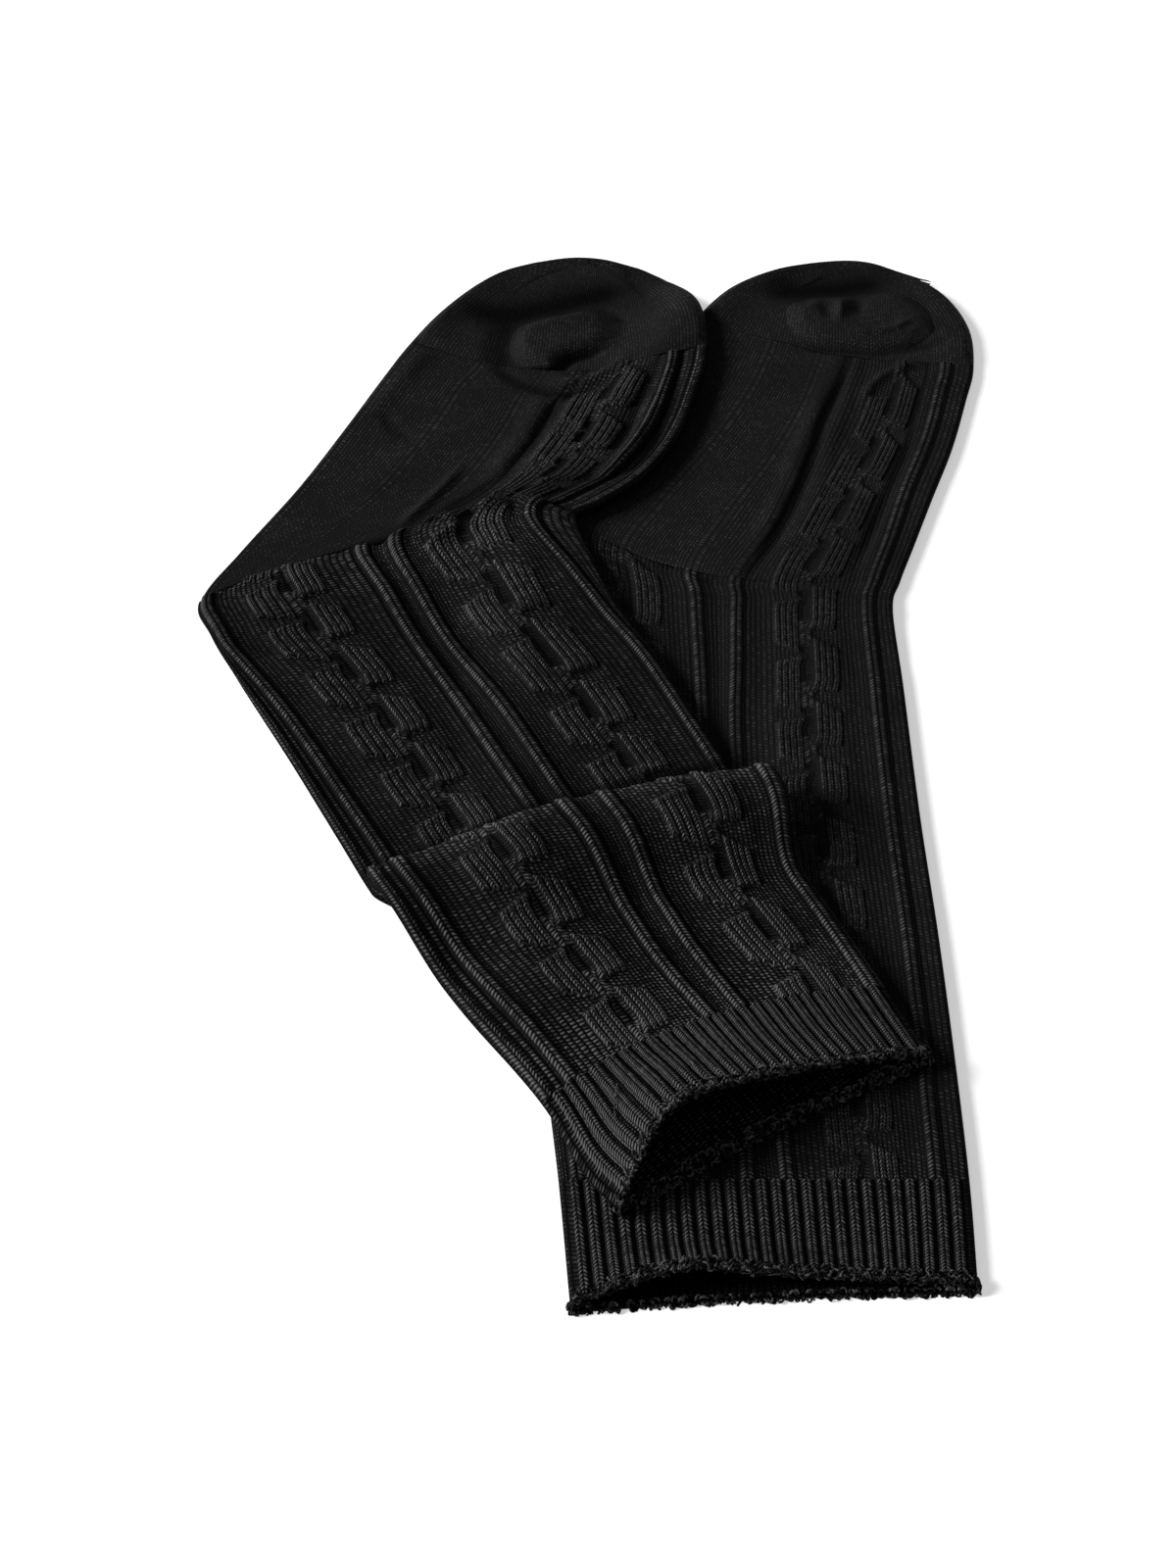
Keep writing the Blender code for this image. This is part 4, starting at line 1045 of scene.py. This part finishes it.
def edge_loops(sock):
    """The cuff's cut edge: loops of yarn all round the mouth, in a band a few loops wide."""
    rng = np.random.default_rng(LOOP_SEEDS[sock.name])
    wales = np.arange(0.5, 2 * CUFF_RIBS + 1, 0.5)
    lanes = Lanes(cuff_places(sock, 0.0, wales), np.full(len(wales), 0.3))
    points, faces, tones = [], [], []

    def add(path, radius, sides, tone):
        tube, quads = tube_mesh(path, radius, sides)
        points.append(tube)
        faces.append(quads)
        tones.append(np.tile((LOOP_RELIEF, tone), (len(tube), 1)))

    for cloth, sink, pitch in LOOP_BANDS[:None if sock.below else UNDER_BANDS]:
        start = (1 - sink) * sock.ring(cloth, lanes, True) + sink * sock.ring(cloth, lanes, False)
        behind = sock.ring(cloth + 1.0, lanes, True)
        for index in range(len(lanes) - 1):
            along = start[index + 1] - start[index]
            span = np.linalg.norm(along)
            low = lanes.level[index] < 0
            if span < 0.05 or (sink == 1 and not low):
                continue
            along = along / span
            outward = start[index] - behind[index]
            outward = outward / np.linalg.norm(outward)
            normal = np.cross(along, outward)
            normal = normal * (-1 if low and sink < 1 else 1) * np.sign(normal[2] + 1e-9)
            for _ in range(max(int(round(span / pitch)), 1)):
                centre = (start[index] + along * span * rng.uniform(0, 1)
                          + normal * rng.uniform(0, 0.5) + outward * rng.uniform(-0.3, 0.5))
                turn = rng.uniform(-LOOP_TURN, LOOP_TURN)
                run = math.cos(turn) * along + math.sin(turn) * outward
                up = normal * rng.uniform(0.3, 1.0) + outward * rng.uniform(-0.2, 1.0)
                arc = np.linspace(-0.2, math.pi + 0.2, 7)
                path = (centre + np.cos(arc)[:, None] * rng.uniform(*LOOP_HALF_WIDTH) * run
                        + (np.sin(arc) * rng.uniform(*LOOP_LENGTH) - LOOP_SINKS)[:, None] * up)
                lighter = LOW_LOOP_TONE if low and sock.below else 1
                add(path, rng.uniform(*LOOP_YARN), 5, rng.uniform(*LOOP_TONES) * lighter)
    for thread in LOOSE_THREADS[sock.name]:
        add(spline(thread, np.linspace(0, len(thread) - 1, 14)), THREAD_RADIUS, 4, THREAD_TONE)
    starts = np.cumsum([0] + [len(tube) for tube in points])
    faces = [quads + start for quads, start in zip(faces, starts)]
    points = np.concatenate(points)
    points[:, 2] = np.maximum(points[:, 2], TABLE_GAP)
    knit = np.tile((1.0, 0.0), (len(points), 1))
    piece = yarn_object(f"{sock.name}_cuff_edge", points, np.concatenate(faces),
                        points[:, :2] * LOOP_STITCHES, knit, np.concatenate(tones))
    return piece


def add_sock(sock):
    stops = [0.0, *(sock.along(place) for place in ("cuff top", "heel", "toe seam")), sock.end]
    for plan, low, high in zip(PLANS, stops, stops[1:]):
        piece = build_piece(sock, plan, low, high)
        at = np.linspace(low, high, 120)
        widths = sock.course.chord(sock.course.stop([sock.path(place)[0] for place in at]))[2]
        trim = [edge_loops(sock)] if plan.name == "cuff" else []


def shaded_material(name, inputs):
    material = bpy.data.materials.new(name)
    material.use_nodes = True
    shader = material.node_tree.nodes["Principled BSDF"]
    for title, value in inputs.items():
        shader.inputs[title].default_value = value
    return material, shader


def yarn_material():
    """V stitches where the cloth is knit, short strokes where it is purl, painted shade between
    them.
    """
    material, shader = shaded_material("black_cotton_yarn", {"Specular IOR Level": YARN_SPECULAR})
    tree = material.node_tree

    def link(value, socket):
        if isinstance(value, (int, float)):
            socket.default_value = value
        else:
            tree.links.new(value, socket)

    def node(kind, **inputs):
        new = tree.nodes.new(f"ShaderNode{kind}")
        for title, value in inputs.items():
            link(value, new.inputs[title])
        return new

    def op(operation, *values):
        new = node("Math")
        new.operation = operation
        for socket, value in zip(new.inputs, values):
            link(value, socket)
        return new.outputs[0]

    def times(first, second):
        return op("MULTIPLY", first, second)

    def plus(first, second):
        return op("ADD", first, second)

    def linear(value, factor, shift):
        return op("MULTIPLY_ADD", value, factor, shift)

    def mix(factor, first, second):
        return plus(times(first, op("SUBTRACT", 1.0, factor)), times(second, factor))

    def uv(name):
        new = node("UVMap")
        new.uv_map = name
        split = node("SeparateXYZ", Vector=new.outputs[0])
        return split.outputs[0], split.outputs[1]

    def noise(name):
        scale, detail = NOISE[name]
        return node("TexNoise", Scale=scale, Detail=detail, Vector=place).outputs["Fac"]

    def rounded(value, sharp):
        """1 in the middle of a cell, 0 at its ends, from a value that runs from -1 to 1."""
        return op("MAXIMUM", op("SUBTRACT", 1.0, op("POWER", op("ABSOLUTE", value), sharp)), 0.0)

    def spread(column, row):
        """Each stitch is a little larger or smaller than the next."""
        new = node("TexWhiteNoise")
        new.noise_dimensions = "2D"
        link(node("CombineXYZ", X=column, Y=row).outputs[0], new.inputs["Vector"])
        return linear(new.outputs["Value"], *STITCH_SPREAD)

    def centred(value):
        """The place within a cell, from -1 to 1."""
        return linear(op("FRACT", value), 2.0, -1.0)

    (wale, course), (knit, hollow), (relief, tone) = map(uv, LAYERS)
    place = node("TexCoord").outputs["Object"]
    wander = times(op("SUBTRACT", noise("wander"), 0.5), WANDER)
    # a knit stitch is a V of two legs that lean outwards
    side = op("ABSOLUTE", op("SUBTRACT", op("FRACT", wale), 0.5))
    lean = plus(linear(side, STITCH_LEAN, course), wander)
    leg = rounded(centred(lean), LEG_ROUNDING)
    leg = times(leg, rounded(linear(side, 4.0, -1.0), SIDE_ROUNDING))
    leg = times(leg, spread(op("FLOOR", times(wale, 2.0)), op("FLOOR", lean)))
    # a purl stitch shows as short slanted strokes, set like bricks
    stroke = plus(times(wale, PURLS_PER_WALE), times(wander, 0.5))
    column = op("FLOOR", stroke)
    brick = linear(column, PURL_OFFSET, times(spread(column, 0.0), 0.5))
    row = plus(linear(op("FRACT", stroke), PURL_SLANT, plus(course, brick)), wander)
    purl = times(rounded(centred(row), LEG_ROUNDING), rounded(centred(stroke), SIDE_ROUNDING))
    purl = times(times(purl, PURL_HEIGHT), spread(column, op("FLOOR", row)))
    height = linear(noise("fuzz"), FUZZ, mix(knit, purl, leg))
    bump = node("Bump", Strength=1.0, Distance=STITCH_DEPTH, Height=times(height, relief))
    tree.links.new(bump.outputs["Normal"], shader.inputs["Normal"])
    # painted shade between the stitches and in the hollows, lighter on the knit wales
    cover = mix(relief, FLAT_COVER, times(height, mix(knit, PURL_COVER, KNIT_COVER)))
    unshaded = op("SUBTRACT", 1.0, times(hollow, HOLLOW_SHADE_STRENGTH))
    level = times(times(cover, unshaded), times(linear(noise("patches"), *PATCHES), tone))
    ramp = node("ValToRGB", Fac=level)
    stops = ramp.color_ramp.elements
    for index, (at, colour) in enumerate(YARN_COLOURS):
        stop = stops[index] if index < 2 else stops.new(at)
        stop.position, stop.color = at, colour
    tree.links.new(ramp.outputs["Color"], shader.inputs["Base Color"])
    tree.links.new(mix(knit, PURL_ROUGHNESS, KNIT_ROUGHNESS), shader.inputs["Roughness"])
    return material


YARN = yarn_material()


def add_floor():
    mesh = bpy.data.meshes.new("floor")
    half = FLOOR_HALF
    mesh.from_pydata([(-half, -half, 0), (half, -half, 0), (half, half, 0), (-half, half, 0)], [],
                     [(0, 1, 2, 3)])
    material, _ = shaded_material("white_table", {
        "Base Color": (0.92, 0.92, 0.92, 1), "Roughness": 0.9, "Specular IOR Level": 0.1,
        "Emission Color": (1, 1, 1, 1), "Emission Strength": FLOOR_GLOW})
    mesh.materials.append(material)
    add_object("floor", mesh)


def add_camera():
    camera = bpy.data.cameras.new("camera")
    camera.sensor_fit = "VERTICAL"
    camera.sensor_height = CAMERA_SENSOR
    camera.lens = CAMERA_LENS
    camera.clip_start = 0.01
    camera.clip_end = 20
    view = add_object("camera", camera)
    view.location = CAMERA_AT
    view.rotation_euler = (math.radians(90 - CAMERA_DOWN), 0, 0)
    bpy.context.scene.camera = view


def add_light():
    world = bpy.data.worlds.new("studio")
    bpy.context.scene.world = world
    world.use_nodes = True
    background = world.node_tree.nodes["Background"]
    background.inputs["Color"].default_value = (1, 1, 1, 1)
    background.inputs["Strength"].default_value = WORLD_LIGHT
    light = bpy.data.lights.new("key", "SUN")
    light.energy = SUN_POWER
    light.angle = math.radians(SUN_SPREAD)
    add_object("key", light).rotation_euler = Vector(SUN_FROM).to_track_quat("Z", "Y").to_euler()
    bpy.context.scene.view_settings.view_transform = "Standard"


def main():
    under = Sock("under")
    add_sock(under)
    add_sock(Sock("over", below=under))
    add_floor()
    add_camera()
    add_light()


main()
